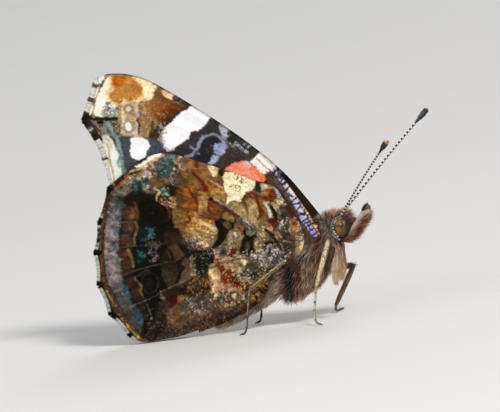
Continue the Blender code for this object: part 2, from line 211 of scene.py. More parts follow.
class Chart:
    """Colours of the scales at chart points, laid on mark by mark."""

    def __init__(self, u, v, seed, wander=1.0):
        self.u, self.v, self.seed = u, v, seed
        self.wu = u + wander * (1.2 * (cloud(u, v, 5.0, seed) - 0.5) + 1.1 * (noise(u, v, 1.7, seed + 3) - 0.5))
        self.wv = v + wander * (1.2 * (cloud(u, v, 5.0, seed + 29) - 0.5) + 1.1 * (noise(u, v, 1.7, seed + 31) - 0.5))
        self.rgb = np.zeros((len(u), 3))
        self.grain = self.cells(1.15, 1)
        self.shade = self.cells(1.0, 2)
        self.marks = 0

    def cells(self, size, seed, turn=0.55, stretch=1.5):
        """A random number for each wing scale: small staggered cells that point outwards."""
        c, s = np.cos(turn), np.sin(turn)
        x, y = (self.u * c + self.v * s) / (size * stretch), (self.v * c - self.u * s) / size
        row = np.floor(y)
        return lattice(np.floor(x + 0.5 * (row % 2)), row, self.seed * 17 + seed)

    def near(self, low, high, margin):
        return np.nonzero(
            (self.wu > low[0] - margin) & (self.wu < high[0] + margin) & (self.wv > low[1] - margin) & (self.wv < high[1] + margin)
        )[0]

    def lay(self, pick, mask, colour, vary):
        self.marks += 1
        vary *= 0.45 * (1.0 - 0.75 * (min(colour) > 220))
        tone = 1.0 + vary * (self.shade[pick] - 0.5) * 2.0
        colour = np.array(colour, float) / 255.0
        self.rgb[pick] += (np.clip(colour * tone[:, None], 0, 1) - self.rgb[pick]) * mask[:, None]

    def fill(self, colour, vary=0.1):
        self.lay(np.arange(len(self.u)), np.ones(len(self.u)), colour, vary)

    def blob(self, colour, centre, size, turn=0.0, soft=1.2, amount=1.0, grain=1.0, vary=0.12, ring=None):
        """An oval mark; ring keeps only a band of that width along its edge."""
        rx, ry = size if isinstance(size, tuple) else (size, size)
        reach = max(rx, ry)
        pick = self.near(centre, centre, reach + soft + 2)
        x, y = self.wu[pick] - centre[0], self.wv[pick] - centre[1]
        c, s = np.cos(np.radians(turn)), np.sin(np.radians(turn))
        x, y = x * c + y * s, y * c - x * s
        r = np.sqrt((x / rx) ** 2 + (y / ry) ** 2) + 1e-9
        d = (1.0 - r) * np.hypot(x, y) / r
        if ring is not None:
            d = ring / 2 - np.abs(d)
        self.lay(pick, amount * self.edge(pick, d, soft, grain), colour, vary)

    def edge(self, pick, d, soft, grain):
        return smooth_step((d + grain * (self.grain[pick] - 0.5)) / soft + 0.5)

    def line(self, colour, points, width, soft=1.0, amount=1.0, grain=0.55, vary=0.1):
        """A stroke along points; width is one number or one for each end and the middle."""
        p = rounded(points, False)
        widths = np.array(width if isinstance(width, (tuple, list)) else (width, width), float)
        at = np.interp(np.linspace(0, 1, len(p)), np.linspace(0, 1, len(widths)), widths)
        margin = widths.max() / 2 + soft + 1.5
        pick = self.near(p.min(0), p.max(0), margin)
        x, y = self.wu[pick], self.wv[pick]
        best = np.full(len(pick), -1e9)
        for k in range(len(p) - 1):
            dx, dy = p[k + 1] - p[k]
            f = np.clip(((x - p[k, 0]) * dx + (y - p[k, 1]) * dy) / (dx * dx + dy * dy + 1e-12), 0, 1)
            d = np.hypot(x - p[k, 0] - f * dx, y - p[k, 1] - f * dy)
            best = np.maximum(best, (at[k] + (at[k + 1] - at[k]) * f) / 2 - d)
        self.lay(pick, amount * self.edge(pick, best, soft, grain), colour, vary)

    def inside(self, pick, points, sharp=False):
        """Signed distance to a closed outline, positive inside."""
        p = spots(points) if sharp else rounded(points, True)
        x, y = self.wu[pick], self.wv[pick]
        best = np.full(len(pick), 1e9)
        odd = np.zeros(len(pick), bool)
        for k in range(len(p)):
            a, b = p[k - 1], p[k]
            dx, dy = b - a
            f = np.clip(((x - a[0]) * dx + (y - a[1]) * dy) / (dx * dx + dy * dy + 1e-12), 0, 1)
            best = np.minimum(best, np.hypot(x - a[0] - f * dx, y - a[1] - f * dy))
            crosses = (a[1] > y) != (b[1] > y)
            with np.errstate(divide="ignore", invalid="ignore"):
                odd ^= crosses & (x < a[0] + (y - a[1]) * dx / (dy if dy else 1e-12))
        return np.where(odd, best, -best)

    def patch(self, colour, points, soft=1.2, amount=1.0, grain=1.0, vary=0.12, sharp=False):
        p = spots(points)
        pick = self.near(p.min(0), p.max(0), soft + 2)
        self.lay(pick, amount * self.edge(pick, self.inside(pick, points, sharp), soft, grain), colour, vary)

    def flecks(self, colour, points, share, size=0.95, soft=3.0, amount=0.62, seed=0, vary=0.15, clump=1.1):
        """Single scales of another colour scattered in an outline."""
        p = spots(points)
        pick = self.near(p.min(0), p.max(0), soft + 2)
        region = smooth_step(self.inside(pick, points) / soft + 0.5)
        chance = self.cells(size, 40 + seed, stretch=1.25)[pick]
        tuft = cloud(self.u[pick], self.v[pick], 4.5, self.seed + 50 + seed)
        limit = share * region * (1.0 + clump * 6.0 * (tuft - 0.5))
        strength = amount * smooth_step((limit - chance) * 12 + 0.5) * (region > 0.02)
        self.lay(pick, strength, colour, vary)
        kind = self.cells(size, 90 + seed, stretch=1.25)[pick]
        self.lay(pick, 0.8 * strength * (kind > 0.62), [min(255, c * k) for c, k in zip(colour, (1.04, 0.86, 0.64))], vary)
        self.lay(pick, 0.7 * strength * (kind < 0.24), [c * 0.6 for c in colour], vary)

    def mottle(self, depth, power, floor=0.0):
        """Uneven light and dark over the whole pattern, and a curve that deepens its shades."""
        broad = cloud(self.u, self.v, 9.0, self.seed + 71) - 0.5
        small = cloud(self.u, self.v, 2.6, self.seed + 73) - 0.5
        turn, reach = np.arctan2(self.v - 242.0, 312.0 - self.u), np.hypot(self.v - 242.0, self.u - 312.0)
        ray = noise(turn * 70 + 400, reach * 0.16 + 50, 1.0, self.seed + 77) - 0.5
        gain = 1.0 + depth * (1.2 * broad + 2.0 * small + 1.1 * ray + 0.3 * (self.shade - 0.5))
        gain = 1.0 + (gain - 1.0) * (1.0 - 0.9 * smooth_step((self.rgb.min(1) - 0.6) / 0.25))
        self.rgb = np.clip(np.clip(self.rgb, 0, 1) ** power * gain[:, None], floor, 1)


# Forewing underside marks, chart units = 0.115 mm.
INK = (24, 22, 24)
NAVY = (30, 32, 52)
PLUM = (46, 34, 44)
BLACK_GREEN = (36, 40, 34)
WHITE = (250, 250, 252)
CREAM = (250, 226, 178)
CREAM_WHITE = (253, 246, 232)
ORANGE_RUST = (198, 108, 24)
RUST = (168, 96, 40)
BROWN = (120, 72, 36)
TAN = (170, 124, 78)
TAN_PINK = (176, 138, 108)
RED_BROWN = (118, 52, 22)
GREY_LIGHT = (222, 220, 216)
GREY = (150, 146, 146)
TEAL = (124, 160, 156)
TEAL_DARK = (58, 88, 88)
VIOLET = (118, 116, 176)
PERIWINKLE = (150, 165, 224)
SKY = (160, 184, 236)
LILAC = (186, 184, 214)
CORAL = (236, 104, 78)
PINK_WHITE = (252, 236, 240)

def forewing_under(c):
    c.fill((69, 57, 52), 0.25)
    # the smoky ground near the margin and the brown field of the tip
    c.patch((249, 238, 220), "112,76 107,78 101,88 95,101 94,116 117,117 124,108 118,101 110,92 113,84", 2.0)
    c.patch((255, 250, 242), "95,99 106,99 105,108 94,109", 3.0, 0.8)
    c.patch((183, 154, 126), "119,100 140,99 152,101 163,105 166,122 158,138 122,137 117,128 118,112", 3.0)
    c.patch((146, 114, 72), "140,101 160,100 166,110 163,122 156,138 142,136", 4.0, 0.8)
    c.patch((122, 84, 46), "152,90 158,89 176,98 188,108 186,112 172,121 160,124 152,112 151,100", 3.0)
    c.patch((97, 40, 5), "168,104 184,107 184,112 172,120 160,122 160,114", 4.0, 0.75)
    c.patch(RUST, "150,100 165,102 172,108 160,114 148,118 145,108", 6.0, 0.45)
    # orange patch of the tip with its cream edge
    c.patch((239, 205, 154), "110,76 124,75 142,80 153,87 154,98 146,101 128,103 115,105 108,99 106,92 111,86", 2.5)
    c.patch((193, 134, 66), "113,77 123,75 134,77.5 140,85 144,90.5 141,97 136,99.5 129,101 120,103 113,101 109.5,97 110,93 114,90.5 113.5,84", 2.0)
    c.patch((182, 100, 5), "112.5,77 122,76 126,80 119,86 113,85", 4.0, 0.85)
    c.patch((195, 132, 59), "136,86 143,90 140,97 134,98", 3.0, 0.8)
    c.patch((193, 137, 68), "118,88 132,90 132,98 118,100", 5.0, 0.7)
    c.patch((253, 237, 201), "144,87 153,87 153.5,97 147,100 143,95", 2.5)
    c.line(CREAM, "133,78 144,82.5 156,88.5", (3.0, 4.5, 2), 1.5)
    # costal cell colours towards the tip
    c.line((129, 104, 74), "153,84.5 164,92", (3.6, 2.6), 1.2)
    c.patch((227, 200, 161), "160.5,89 170,94 174,99 172,100.5 165,97 162,93", 1.4)
    c.patch((69, 59, 52), "171,95 180,98 192,106 190,109.5 182,105 174,101", 2.0)
    c.flecks(GREY, "171,95 180,98 192,106 190,109 174,101", 0.3)
    # veins in the brown field
    for run in ("138,102.5 160,103.2 176,108 187,112.5", "118,118.4 140,120 163,122", "120,137.5 146,138 163,142"):
        c.line((144, 115, 73), run, (0.9, 0.7), 1.0, 0.8)
    c.line((255, 237, 195), "124.5,101 123.5,112 124,120 122,126", (5, 3), 3.0, 0.75)
    c.line((255, 249, 218), "121,131 127,134.5 134,133", (3, 2), 3.0, 0.6)
    c.flecks((140, 84, 40), "120,100 165,101 164,122 156,138 121,137", 0.12, amount=0.4)
    c.flecks((222, 190, 140), "120,100 165,101 164,122 156,138 121,137", 0.1, amount=0.4, seed=1)
    # the two eyespots of the tip and the whitish stripes behind them
    c.blob((138, 126, 108), (128.6, 109), (5.0, 5.2), 0, 2.2, 0.9)
    c.blob((216, 208, 195), (128.6, 109), (2.7, 2.9), 0, 1.2)
    c.blob((158, 150, 133), (128.3, 126.8), (5.2, 6.6), 0, 2.4, 0.9)
    c.blob((243, 239, 234), (128.2, 126.6), (3.3, 4.4), 0, 1.2)
    c.line((201, 192, 180), "137.4,103 136.4,109 137.8,116", (3.6, 2.8), 2.0, 0.85)
    c.line((207, 197, 188), "136.2,120 136.8,128 135.6,136", (2.8, 3.4), 2.0, 0.75)
    c.line((129, 115, 98), "139.4,105.5 140.4,110 139.6,114.5", (1.6, 2.2), 1.2, 0.9)
    c.line((63, 54, 49), "137.6,120 139.6,126 138.8,134", (2.6, 1.6), 1.4, 0.9)
    c.flecks((196, 184, 190), "140,103 150,103 150,136 140,136", 0.1, amount=0.45, seed=2)
    # dark diagonal band in from the brown field, with its fuzzy grey edge
    c.line((64, 47, 39), "188,107.5 176,116 163.5,124 158,131 155.5,139", (3.5, 5.5, 9.5), 2.4)
    c.line((47, 27, 6), "153,122 152,130 151,137", (2, 4), 3.0, 0.7)
    # black line across the tip's margin and the speckled zone below it
    c.patch((77, 66, 55), "92,119 118,119 121,128 117,136 101,136 94,128", 2.5)
    c.flecks((176, 170, 164), "92,120 108,120 112,136 98,136", 0.42, seed=3)
    c.flecks((122, 158, 158), "104,121 113,121 114,137 106,135", 0.5, seed=4)
    c.flecks((206, 188, 168), "112,120 121,120 121,137 112,137", 0.26, seed=5)
    c.flecks((112, 136, 138), "104,103 115,104 117,117 104,117", 0.6, seed=6)
    c.flecks((96, 90, 90), "103,108 120,108 118,117 103,117", 0.3, seed=7)
    c.line((41, 32, 19), "90,118.8 104,118.8 117.6,118.8", (2.6, 3.4, 2.4), 1.2)
    c.blob((20, 15, 6), (100.5, 122.4), (3.2, 1.8), 0, 1.5)
    # inner white band and the teal line along it
    c.patch((234, 235, 229), "103,136 109,136.5 114,143 118.5,152 121,163 123,180 126,214 112,214 110,182 108,166 106,150 102,140", 1.8)
    c.line((165, 161, 149), "104,136.5 109,141 111,148", (3, 2), 2.5, 0.6)
    c.line((140, 164, 160), "108,124 112,131 116.5,137.5 119,145 120.5,155 124,168 126,182", (2.5, 5.2, 4.6), 2.2, 0.95)
    c.flecks((90, 116, 118), "113,134 121,136 126,168 119,168", 0.35, seed=8)
    # margin: fringe, brown line and black teeth
    c.line((170, 140, 98), "133,76.6 118,75.4 106.5,76.6 100.5,84 97.6,93 94.4,102 93,112 94,117", (1.4, 1.5, 1.8), 1.0)
    c.line((206, 183, 138), "104,79 99,88 95.6,99", (0.8, 0.8), 1.0, 0.7)
    for centre, size, turn in (((99.8, 79.2), (6.6, 3.4), -52), ((94.7, 92.4), (6.6, 3.2), -68), ((89.8, 108.8), (6.4, 3.1), -86), ((89.6, 130), (3.6, 1.8), 48)):
        c.blob((242, 238, 227), centre, size, turn, 1.2)
    for centre, size, turn in (((96.0, 86.2), (1.8, 1.3), 30), ((91.6, 100.4), (2.0, 1.9), 0), ((93, 101), (1.6, 2.2), 0)):
        c.blob((114, 97, 65), centre, size, turn, 1.4)
    c.line((36, 27, 16), "87,117 84.5,121 85,125", (6, 7, 4), 1.6)
    c.line((60, 35, 19), "88.5,121.5 91.5,126.5 95.5,131.5", (4.2, 3.4), 1.6, 0.9)
    c.line((50, 41, 27), "94,134.8 98,137.4 102.5,141.5", (4.5, 5, 2.5), 1.4)
    for run in ("98.5,141 102.8,147 105.6,156", "106.6,161 108.6,172 109.8,184", "110,186 112,200 114,214"):
        c.line((236, 237, 225), run, (3.8, 4.2), 1.2)
    c.line((197, 179, 147), "103,140.5 107.6,146 109.2,152 109,158 111.5,168 114.5,182", (1.4, 2.6, 1.6), 1.4)
    c.line((233, 227, 212), "101,141 105.6,148 107.2,156 108,162 111,173", (0.9, 1.1), 1.0, 0.9)
    c.blob((111, 107, 95), (106.6, 158.6), (1.8, 1.5), 0, 1.2)
    # navy ground round the white spot, with violet scales
    c.patch((76, 82, 87), "120,137 130,137 150,138 164,141 166,150 156,154 148,158 142,164 132,176 128,176 123,158", 2.2)
    c.flecks((96, 100, 156), "148,139 166,141 166,151 150,153", 0.4, seed=9)
    c.flecks((84, 92, 120), "121,138 131,138 130,156 124,158", 0.22, seed=10)
    c.patch(WHITE, "131,138.5 138.1,137.2 146.6,139.6 150,144.9 147,152 144,158.7 138.1,160.2 132,157.9 129.8,151.8 131,145.7", 1.4)
    # the long white bar
    c.patch((61, 53, 58), "212,118 206,126 198,133 190,136 184,145 170,152 176,157 196,158 206,150 214,132 222,128", 3.0)
    c.patch((204, 207, 221), "165,142 175,144 174,150 168,152 163.5,147", 2.0, 0.95)
    c.patch(WHITE, "187.1,110 190,108 200,111 211.5,118 205,125.5 199,131 191,132.3 188.5,139 182,144 176,147 170,150 164.5,145.7 162.1,138.6 163.9,127.9 172.9,120.7 180,113.6", 1.5, sharp=True)
    c.flecks((190, 190, 200), "159,124 166,124 165,143 159,141", 0.5, seed=11)
    for run in ("172,128 183,127.5 190,131", "187,112 198,118 206,124"):
        c.line((224, 222, 232), run, 0.8, 1.0, 0.5)
    # costa: cream at the bar, then black-green
    c.line((255, 251, 210), "189,104.5 200,110.5 212,118.5", (4.2, 5.0), 1.2)
    c.patch((62, 56, 50), "213,117 224,124 242,137 260,152 256,158 240,150 226,140 216,130 208,124", 2.0)
    c.flecks((70, 64, 66), "206,122 222,130 236,150 226,160 214,146", 0.25, seed=12)
    # the periwinkle ring of the cell
    c.patch((42, 42, 47), "192,153 204,140 214,138 222,142 216,158 206,163 195,159", 3.0)
    c.line((150, 151, 174), "206,136.4 213,134.6 219.5,137.2 224,143 226,147", (2.2, 2.6, 4.2), 1.6, 0.95)
    c.line((140, 150, 178), "198.5,147.5 199.5,142.5 203.8,137", (3.4, 3.6), 1.8, 0.95)
    c.patch((150, 161, 193), "215,144 222,144 226,148 224.5,153 219.5,155.2 213.5,152.5", 1.8)
    c.patch((162, 176, 203), "213,155.2 219.5,156 218,161 212.5,164.8 207.5,163.5 211,160", 1.6)
    c.line((52, 52, 84), "212.5,153.3 219,154.8", 0.8, 1.0, 0.8)
    c.line((147, 153, 179), "196.8,150 192.4,155 185,157.2", (4.0, 2.6), 1.8, 0.95)
    c.line((131, 134, 153), "191,147.6 195.4,149.6", (2.4, 2.0), 1.4, 0.85)
    c.blob((150, 152, 196), (199, 153.4), 1.1, 0, 1.2)
    for spot in ((208, 152), (211, 146), (206.5, 149.5), (217, 150.5), (212.5, 157)):
        c.blob((117, 113, 126), spot, 0.6, 0, 0.8, 0.8)
    c.flecks((40, 44, 84), "196,151 214,152 210,162 197,159", 0.3, seed=13)
    # pale blue-grey streaks below the costa
    c.line((194, 201, 214), "220,126.5 223,131.5 227,136", (3.4, 5.6, 3), 2.6, 0.85)
    c.line((173, 173, 191), "222,136.5 229,142 235,147.5", (2.6, 2.2), 1.8, 0.85)
    c.line((193, 192, 209), "236,143.5 241,148.5 247.5,152.5", (3.4, 4.6, 2.4), 2.4, 0.85)
    c.line((255, 255, 255), "243,143 248,148", (3, 2), 2.2, 0.7)
    c.flecks((34, 36, 40), "219,125 232,134 250,146 247,154 230,144 218,134", 0.3, seed=14)
    c.flecks((36, 52, 92), "231,153 241,155 240,161 232,160", 0.5, seed=15)
    # coral band, with the striated pink-white patch above it at the costa
    c.patch((252, 146, 114), "223,170 228,166 234,162.8 241,161.4 247,163 252,163.5 257,169 262,173.5 265.5,178 264.5,182.4 259,182.6 250,179.4 240,176.4 230,172.6", 1.2, sharp=True)
    c.patch((246, 124, 82), "256,171 261,174 265.5,178 264.5,182.4 260,182 258,177", 2.4, 0.8)
    c.flecks((255, 190, 176), "228,168 246,165 260,178 244,174", 0.3, amount=0.4, seed=16)
    c.patch((254, 242, 235), "249,162.6 252.5,158.6 258.5,154.4 266,160 275,168.5 279,172.4 276,173.6 271,171.5 268,174 262.6,174.6 258,170.4 253.6,165.4", 1.2, sharp=True)
    c.patch((255, 242, 199), "261,153.6 268,160 276,167.4 281,172.6 279,173.6 272,168 266,162.4 259.4,156.6", 1.2)
    c.patch((233, 193, 189), "243,161.6 248,161.4 251,165 248,168.4 244.6,167", 1.6, 0.9)
    c.line((98, 84, 78), "256.6,158.6 261,163 266.6,168.4 272,172", (0.5, 0.9, 1.8), 0.9, 0.75)
    for k in range(4):
        c.line((214, 190, 196), [(252.6 + 2.2 * k, 161.4 + 0.4 * k), (258.6 + 2.6 * k, 168 + 1.2 * k)], 0.5, 0.8, 0.6)
    # dark olive ground behind it
    c.patch((65, 48, 31), "264.6,175 268,172.6 272,172 277,178 283,188 278,187 272,185 266,183.4 263.6,182.6 266,179", 1.6)
    c.patch((84, 66, 56), "276,176 284,188 292,200 300,214 308,230 320,242 306,244 296,222 286,200 274,184", 1.6)
    c.flecks((104, 92, 82), "264,174 272,173 282,188 268,184", 0.3, seed=17)
    # the barred streak down the costa to the root
    bars = rounded("273.6,170.8 279.8,179 286.8,188.2 293.2,199.4 298.8,209.2 304.6,220 309.6,227.4 315,234.4", False)
    c.line((105, 87, 76), bars + [-3.2, 2.0], (1.2, 2.0, 2.4), 1.0, 0.95)
    c.line((34, 30, 44), bars + [0.4, 0], (3.6, 7.0, 8.6, 7.6), 1.0)
    c.line((12, 10, 9), "302,192 309,201.6 316,212 323,225 327,231", (1.6, 4.2, 3.4), 1.2)
    c.line((194, 186, 220), bars, (2.4, 4.4, 5.8, 6.4, 5.0), 1.2, 0.95)
    c.line((228, 224, 242), bars[6:22] + [0.6, -0.4], (1.4, 3.0, 2.4, 1.0), 2.0, 0.7)
    c.line((160, 150, 214), bars[26:] + [-0.8, 0.4], (2.2, 3.6, 3.2), 2.0, 0.7)
    for k in range(15):
        f = (k + 0.5 + 0.22 * np.sin(7.7 * k)) / 15.0 * (len(bars) - 1)
        x, y = bars[int(f)] + (bars[min(int(f) + 1, len(bars) - 1)] - bars[int(f)]) * (f % 1)
        reach = 1.8 + 2.2 * np.sin(np.pi * min(1.0, (k + 2.0) / 19.0))
        lean = 0.55 + 0.4 * np.sin(3.3 * k + 1.0)
        c.line((44, 38, 66) if k > 4 else (38, 34, 44), [(x - reach, y + (lean + 0.1) * reach), (x + 0.2 * reach * np.sin(5.0 * k), y), (x + reach, y - lean * reach)], (0.9, 1.7 + 0.5 * (k % 3 == 0), 2.0), 0.8, 0.93)
        if k % 4 == 1:
            c.line((44, 38, 66), [(x - 0.7 * reach, y - 1.6), (x + 0.5 * reach, y + 1.2)], 1.1, 0.8, 0.85)
    for k in range(20):
        f = (k + 0.5) / 20.0
        x, y = 287.4 + 32.2 * f + 1.6 * np.sin(np.pi * f) - 2.2 * f * (1.0 - smooth_step((f - 0.8) / 0.15)), 186.0 + 48.0 * f - 1.6 * np.sin(np.pi * f)
        reach = 0.9 + 0.9 * np.sin(np.pi * min(1.0, f + 0.25))
        tint = [a + (b - a) * f ** 2 for a, b in zip((255, 236, 196), (250, 196, 140))]
        c.line((66, 40, 26), [(x - 0.5, y - 1.5), (x + 1.5, y + 1.3)], 1.7, 0.9, 0.9)
        c.line(tint, [(x - 1.2 * reach, y - 0.4 * reach), (x + 0.6 * reach, y + 0.8 * reach)], (1.0, 1.8, 1.4), 0.8, 0.97)
    c.line((92, 42, 18), "315.6,220 319.4,227 322,233", (1.2, 2.0, 1.4), 1.2, 0.85)
    c.flecks((150, 146, 190), "272,170 280,174 290,186 284,188 276,178", 0.16, amount=0.5, seed=18)
    c.mottle(0.12, 1.1)


GOLD = (196, 160, 106)
ORANGE_GOLD = (176, 112, 42)
OLIVE_TAN = (163, 132, 86)
DARK_RUST = (104, 38, 10)
RED_RUST = (128, 42, 18)
SOOT = (17, 16, 12)
UMBER = (78, 54, 36)
TEAL_DEEP = (34, 68, 76)
SILVER = (206, 206, 208)
CREAM_SPOT = (244, 214, 166)

def hindwing_under(c):
    c.fill((70, 52, 38), 0.25)
    # broad grounds: smoky margin side, golden middle, brown root side, tan rear
    c.patch((34, 28, 22), "128,188 168,203 176,226 186,246 210,252 212,270 190,286 168,306 160,345 120,335 100,300 94,260 100,210 112,190", 6.0)
    c.patch((135, 93, 45), "172,180 182,158 198,156 216,164 226,176 230,200 222,214 214,226 218,240 207,250 190,242 176,228 172,210", 5.0)
    c.patch((123, 100, 72), "226,203 262,184 285,195 303,237 298,252 285,262 255,266 215,262 207,250 222,228", 5.0)
    c.patch((108, 79, 51), "212,262 250,262 266,274 268,296 215,314 182,330 166,312 190,286", 5.0)
    c.patch((58, 46, 38), "268,298 240,306 215,314 180,326 150,345 190,352 250,326 276,290", 5.0)
    # lilac-grey band inside the margin
    c.patch((83, 81, 78), "108,200 111,190 124,183 134,180 140,184 134,194 126,200 122,208 121,222 118,236 119,250 121,266 124,282 129,296 134,308 141,322 140,334 134,338 122,322 110,304 104,284 102,258 104,228", 2.5)
    c.patch((120, 110, 108), "108,218 117,222 119,236 119,250 119,262 122,278 126,292 119,296 110,290 105,274 103,256 105,236", 4.0, 0.8)
    c.patch((151, 135, 132), "106,226 113,229 114,244 117,252 116,266 119,284 113,286 107,276 104,262 104,246", 3.5, 0.8)
    c.blob((107, 115, 119), (113.5, 218), (3.4, 10), 0, 4.0, 0.55)
    c.blob((116, 126, 136), (114, 242), (2.4, 9), 0, 4.0, 0.5)
    c.flecks((62, 58, 62), "108,190 126,184 134,186 124,204 122,226 110,224 106,210", 0.22, amount=0.55, seed=2)
    c.flecks((92, 82, 88), "104,236 120,236 122,262 128,290 140,326 126,322 108,290", 0.13, amount=0.5, seed=3)
    c.flecks((176, 166, 166), "112,184 134,184 126,204 120,226 106,232 106,212", 0.12, amount=0.5, seed=4)
    c.line((66, 56, 62), "107.4,272.6 109,275 107.6,278", (1.2, 1.6), 1.2, 0.8)
    # teal-blue flecks along the inside of the lilac band
    for spot, size, turn, colour in (((122, 202.6), (2.6, 4.6), -20, (46, 66, 72)), ((115.6, 231), (2.6, 5.0), 0, (86, 102, 110)), ((115, 261), (4.0, 2.2), -10, (104, 124, 134)), ((120.6, 280), (2.0, 3.4), -10, (92, 100, 116)), ((125.6, 291.5), (3.0, 8.0), -22, (56, 84, 94)), ((138, 315), (3.4, 9.6), -24, (50, 78, 88)), ((141.4, 322.4), (3.2, 1.8), -10, (72, 106, 124)), ((118, 212), (1.8, 3.6), 0, (88, 104, 116))):
        c.blob(colour, spot, size, turn, 3.0, 0.9)
    c.flecks((86, 122, 134), "120,284 129,287 132,302 126,300", 0.22, amount=0.6, seed=5)
    c.flecks((80, 114, 128), "132,306 140,308 145,324 138,326", 0.2, amount=0.6, seed=6)
    c.line((186, 180, 188), "119,260.6 125,259", (1.6, 1.0), 1.4, 0.7)
    # maroon-brown patches between the veins inside the band
    for colour, centre, size, turn in (((50, 36, 26), (131, 200), (9, 4.6), 0), (UMBER, (128.4, 213), (6.6, 7.2), 0), ((110, 80, 48), (131.6, 214), (3.0, 6.0), 0), (UMBER, (127.6, 227.6), (6.8, 5.4), 0), ((108, 78, 46), (131, 228), (3.0, 5.0), 0), ((88, 60, 38), (126.6, 240.4), (6.4, 5.6), 0), ((74, 46, 40), (121.6, 253), (4.8, 4.4), 0), ((112, 68, 36), (126, 253.4), (2.8, 4.0), 0), (UMBER, (126, 263.6), (5.0, 5.6), 0), ((56, 36, 32), (126.6, 273), (5.6, 3.2), -10), ((74, 52, 38), (129.8, 282), (5.0, 5.0), 20), ((66, 46, 34), (136, 294), (4.6, 6.4), -24), ((56, 44, 36), (144.6, 311), (4.0, 6.0), -24)):
        c.blob(colour, centre, size, turn, 2.4, 0.92)
    # dark ground of the eyespots
    c.patch((28, 20, 13), "126,193 146,188 158,192 164,200 152,201 140,203 128,206", 3.0)
    c.patch(SOOT, "138,222 170,222 180,230 174,240 166,248 160,262 163,276 166,290 157,304 152,320 146,334 143,322 142,304 140,290 136,276 133,258 137,238", 3.0)
    # the five eyespots
    c.blob((19, 15, 10), (152.6, 210.6), (17.0, 12.6), 6, 1.8)
    c.line((88, 50, 28), "157,199.5 164,204 168.4,210 169.4,217.4", (2.4, 3.4, 2.2), 1.8, 0.9)
    c.blob((9, 9, 7), (151.6, 211), (14.4, 10.6), 6, 1.8)
    c.blob((30, 25, 18), (154, 210), (9.6, 7.4), 6, 2.4, 0.7)
    c.blob((8, 8, 7), (152.4, 211.4), (6.6, 5.4), 6, 2.4, 0.8)
    c.line((10, 9, 8), "165,201.4 171.4,208.6 172.4,216 169,222.6 159,226", (1.6, 2.6, 2.2), 1.3)
    c.blob((78, 80, 74), (152.9, 213.6), 1.1, 0, 2.0, 0.75)
    c.patch((19, 35, 35), "138,228 143,225.4 150,226 153.6,231 152,238 146,242 139,241.6 137.6,234", 3.4, 0.95)
    c.line((52, 92, 104), "145,228.6 150,229.6 151.4,234 147,238.4 142.6,239.6", (2.0, 4.0, 2.4), 3.0, 0.8)
    c.flecks((94, 146, 160), "146,228 154,229 153,238 144,242 140,240 148,234", 0.25, amount=0.6, seed=8)
    c.patch((15, 30, 28), "131,250 139,248 146,251 146.6,259 141,265.4 134,265 132,257", 3.4, 0.95)
    c.blob((30, 55, 53), (140.6, 255), (4.0, 3.6), 0, 3.6, 0.75)
    c.blob((48, 82, 82), (138.4, 262), (2.6, 1.8), 0, 2.6, 0.6)
    c.flecks((96, 144, 146), "137,250 146,252 145,258 138,258", 0.25, amount=0.6, seed=9)
    c.blob((12, 10, 8), (151.6, 283.4), (13.4, 14.0), 0, 2.2, 0.95)
    c.blob((46, 38, 27), (149.6, 283), (9.6, 11.2), 0, 1.8, 0.95)
    c.blob((10, 9, 8), (149.6, 283), (7.4, 9.2), 0, 1.8, 0.9)
    c.blob((30, 26, 20), (148.8, 284), (4.6, 6.4), 0, 2.6, 0.7)
    c.line((10, 9, 7), "146,268.6 156,269 163.6,275 165.6,284 162,293 154,298 146,297.4", (2.2, 3.8, 2.2), 1.6, 0.95)
    c.blob((19, 37, 49), (149.2, 281.6), (1.7, 3.0), 12, 1.8, 0.85)
    c.line((128, 104, 66), "138,276 143.4,271.4 149,269.8", (0.9, 0.9), 1.4, 0.6)
    c.flecks((98, 88, 76), "140,298 150,300 152,318 146,326 142,312", 0.2, amount=0.6, seed=7)
    # grey-lilac scales between them
    c.flecks((134, 128, 138), "157,292 166,292 165,302 162,314 158,314 160,302", 0.45, amount=0.7, seed=10)
    c.flecks((128, 122, 134), "149,249 158,250 157,262 150,262", 0.4, amount=0.65, seed=11)
    c.flecks((112, 106, 98), "146,240 158,238 160,247 148,248", 0.4, amount=0.65, seed=12)
    c.blob((180, 178, 184), (150.6, 318.6), 1.2, 0, 1.6, 0.9)
    # golden zigzag between the patches and the eyespots
    c.line((92, 66, 33), "134.6,203.6 137,210 136.6,217 135.6,221", (3.0, 4.2, 3.0), 2.4, 0.85)
    for run, width in (("134.6,222.6 136.8,226.4 136.4,232 134,238 134.6,243.4", (2.4, 3.0, 2.2)), ("128.4,249.6 130,254 131.6,259.6 133.4,267", (2.4, 4.0, 2.6)), ("134.4,277.6 137.6,282.4 141,286 140.2,291 143,297", (1.6, 2.4, 1.8)), ("146,305 149,311 151.4,317", (0.9, 1.2))):
        c.line((137, 112, 72), run, width, 2.0, 0.85)
    # veins that cross the dark margin side
    for run, width in (("105,222.2 124,222 136,221.6", 1.3), ("103.6,236.4 118,235.4 133,234", 0.8), ("103,250 116,247.8 134,246 154,244.6 168,243", 0.9), ("103,264.6 111,262.8 119,260.6", 1.2), ("120,276.6 134,271 150,266.4 165,263 177,261", 1.1), ("108,287 120,277.4", 0.8), ("119,313.4 132,306 146,300.6 165,292", 1.0)):
        c.line((118, 109, 93), run, (width * 0.8, width, width * 0.8), 1.1, 0.7)
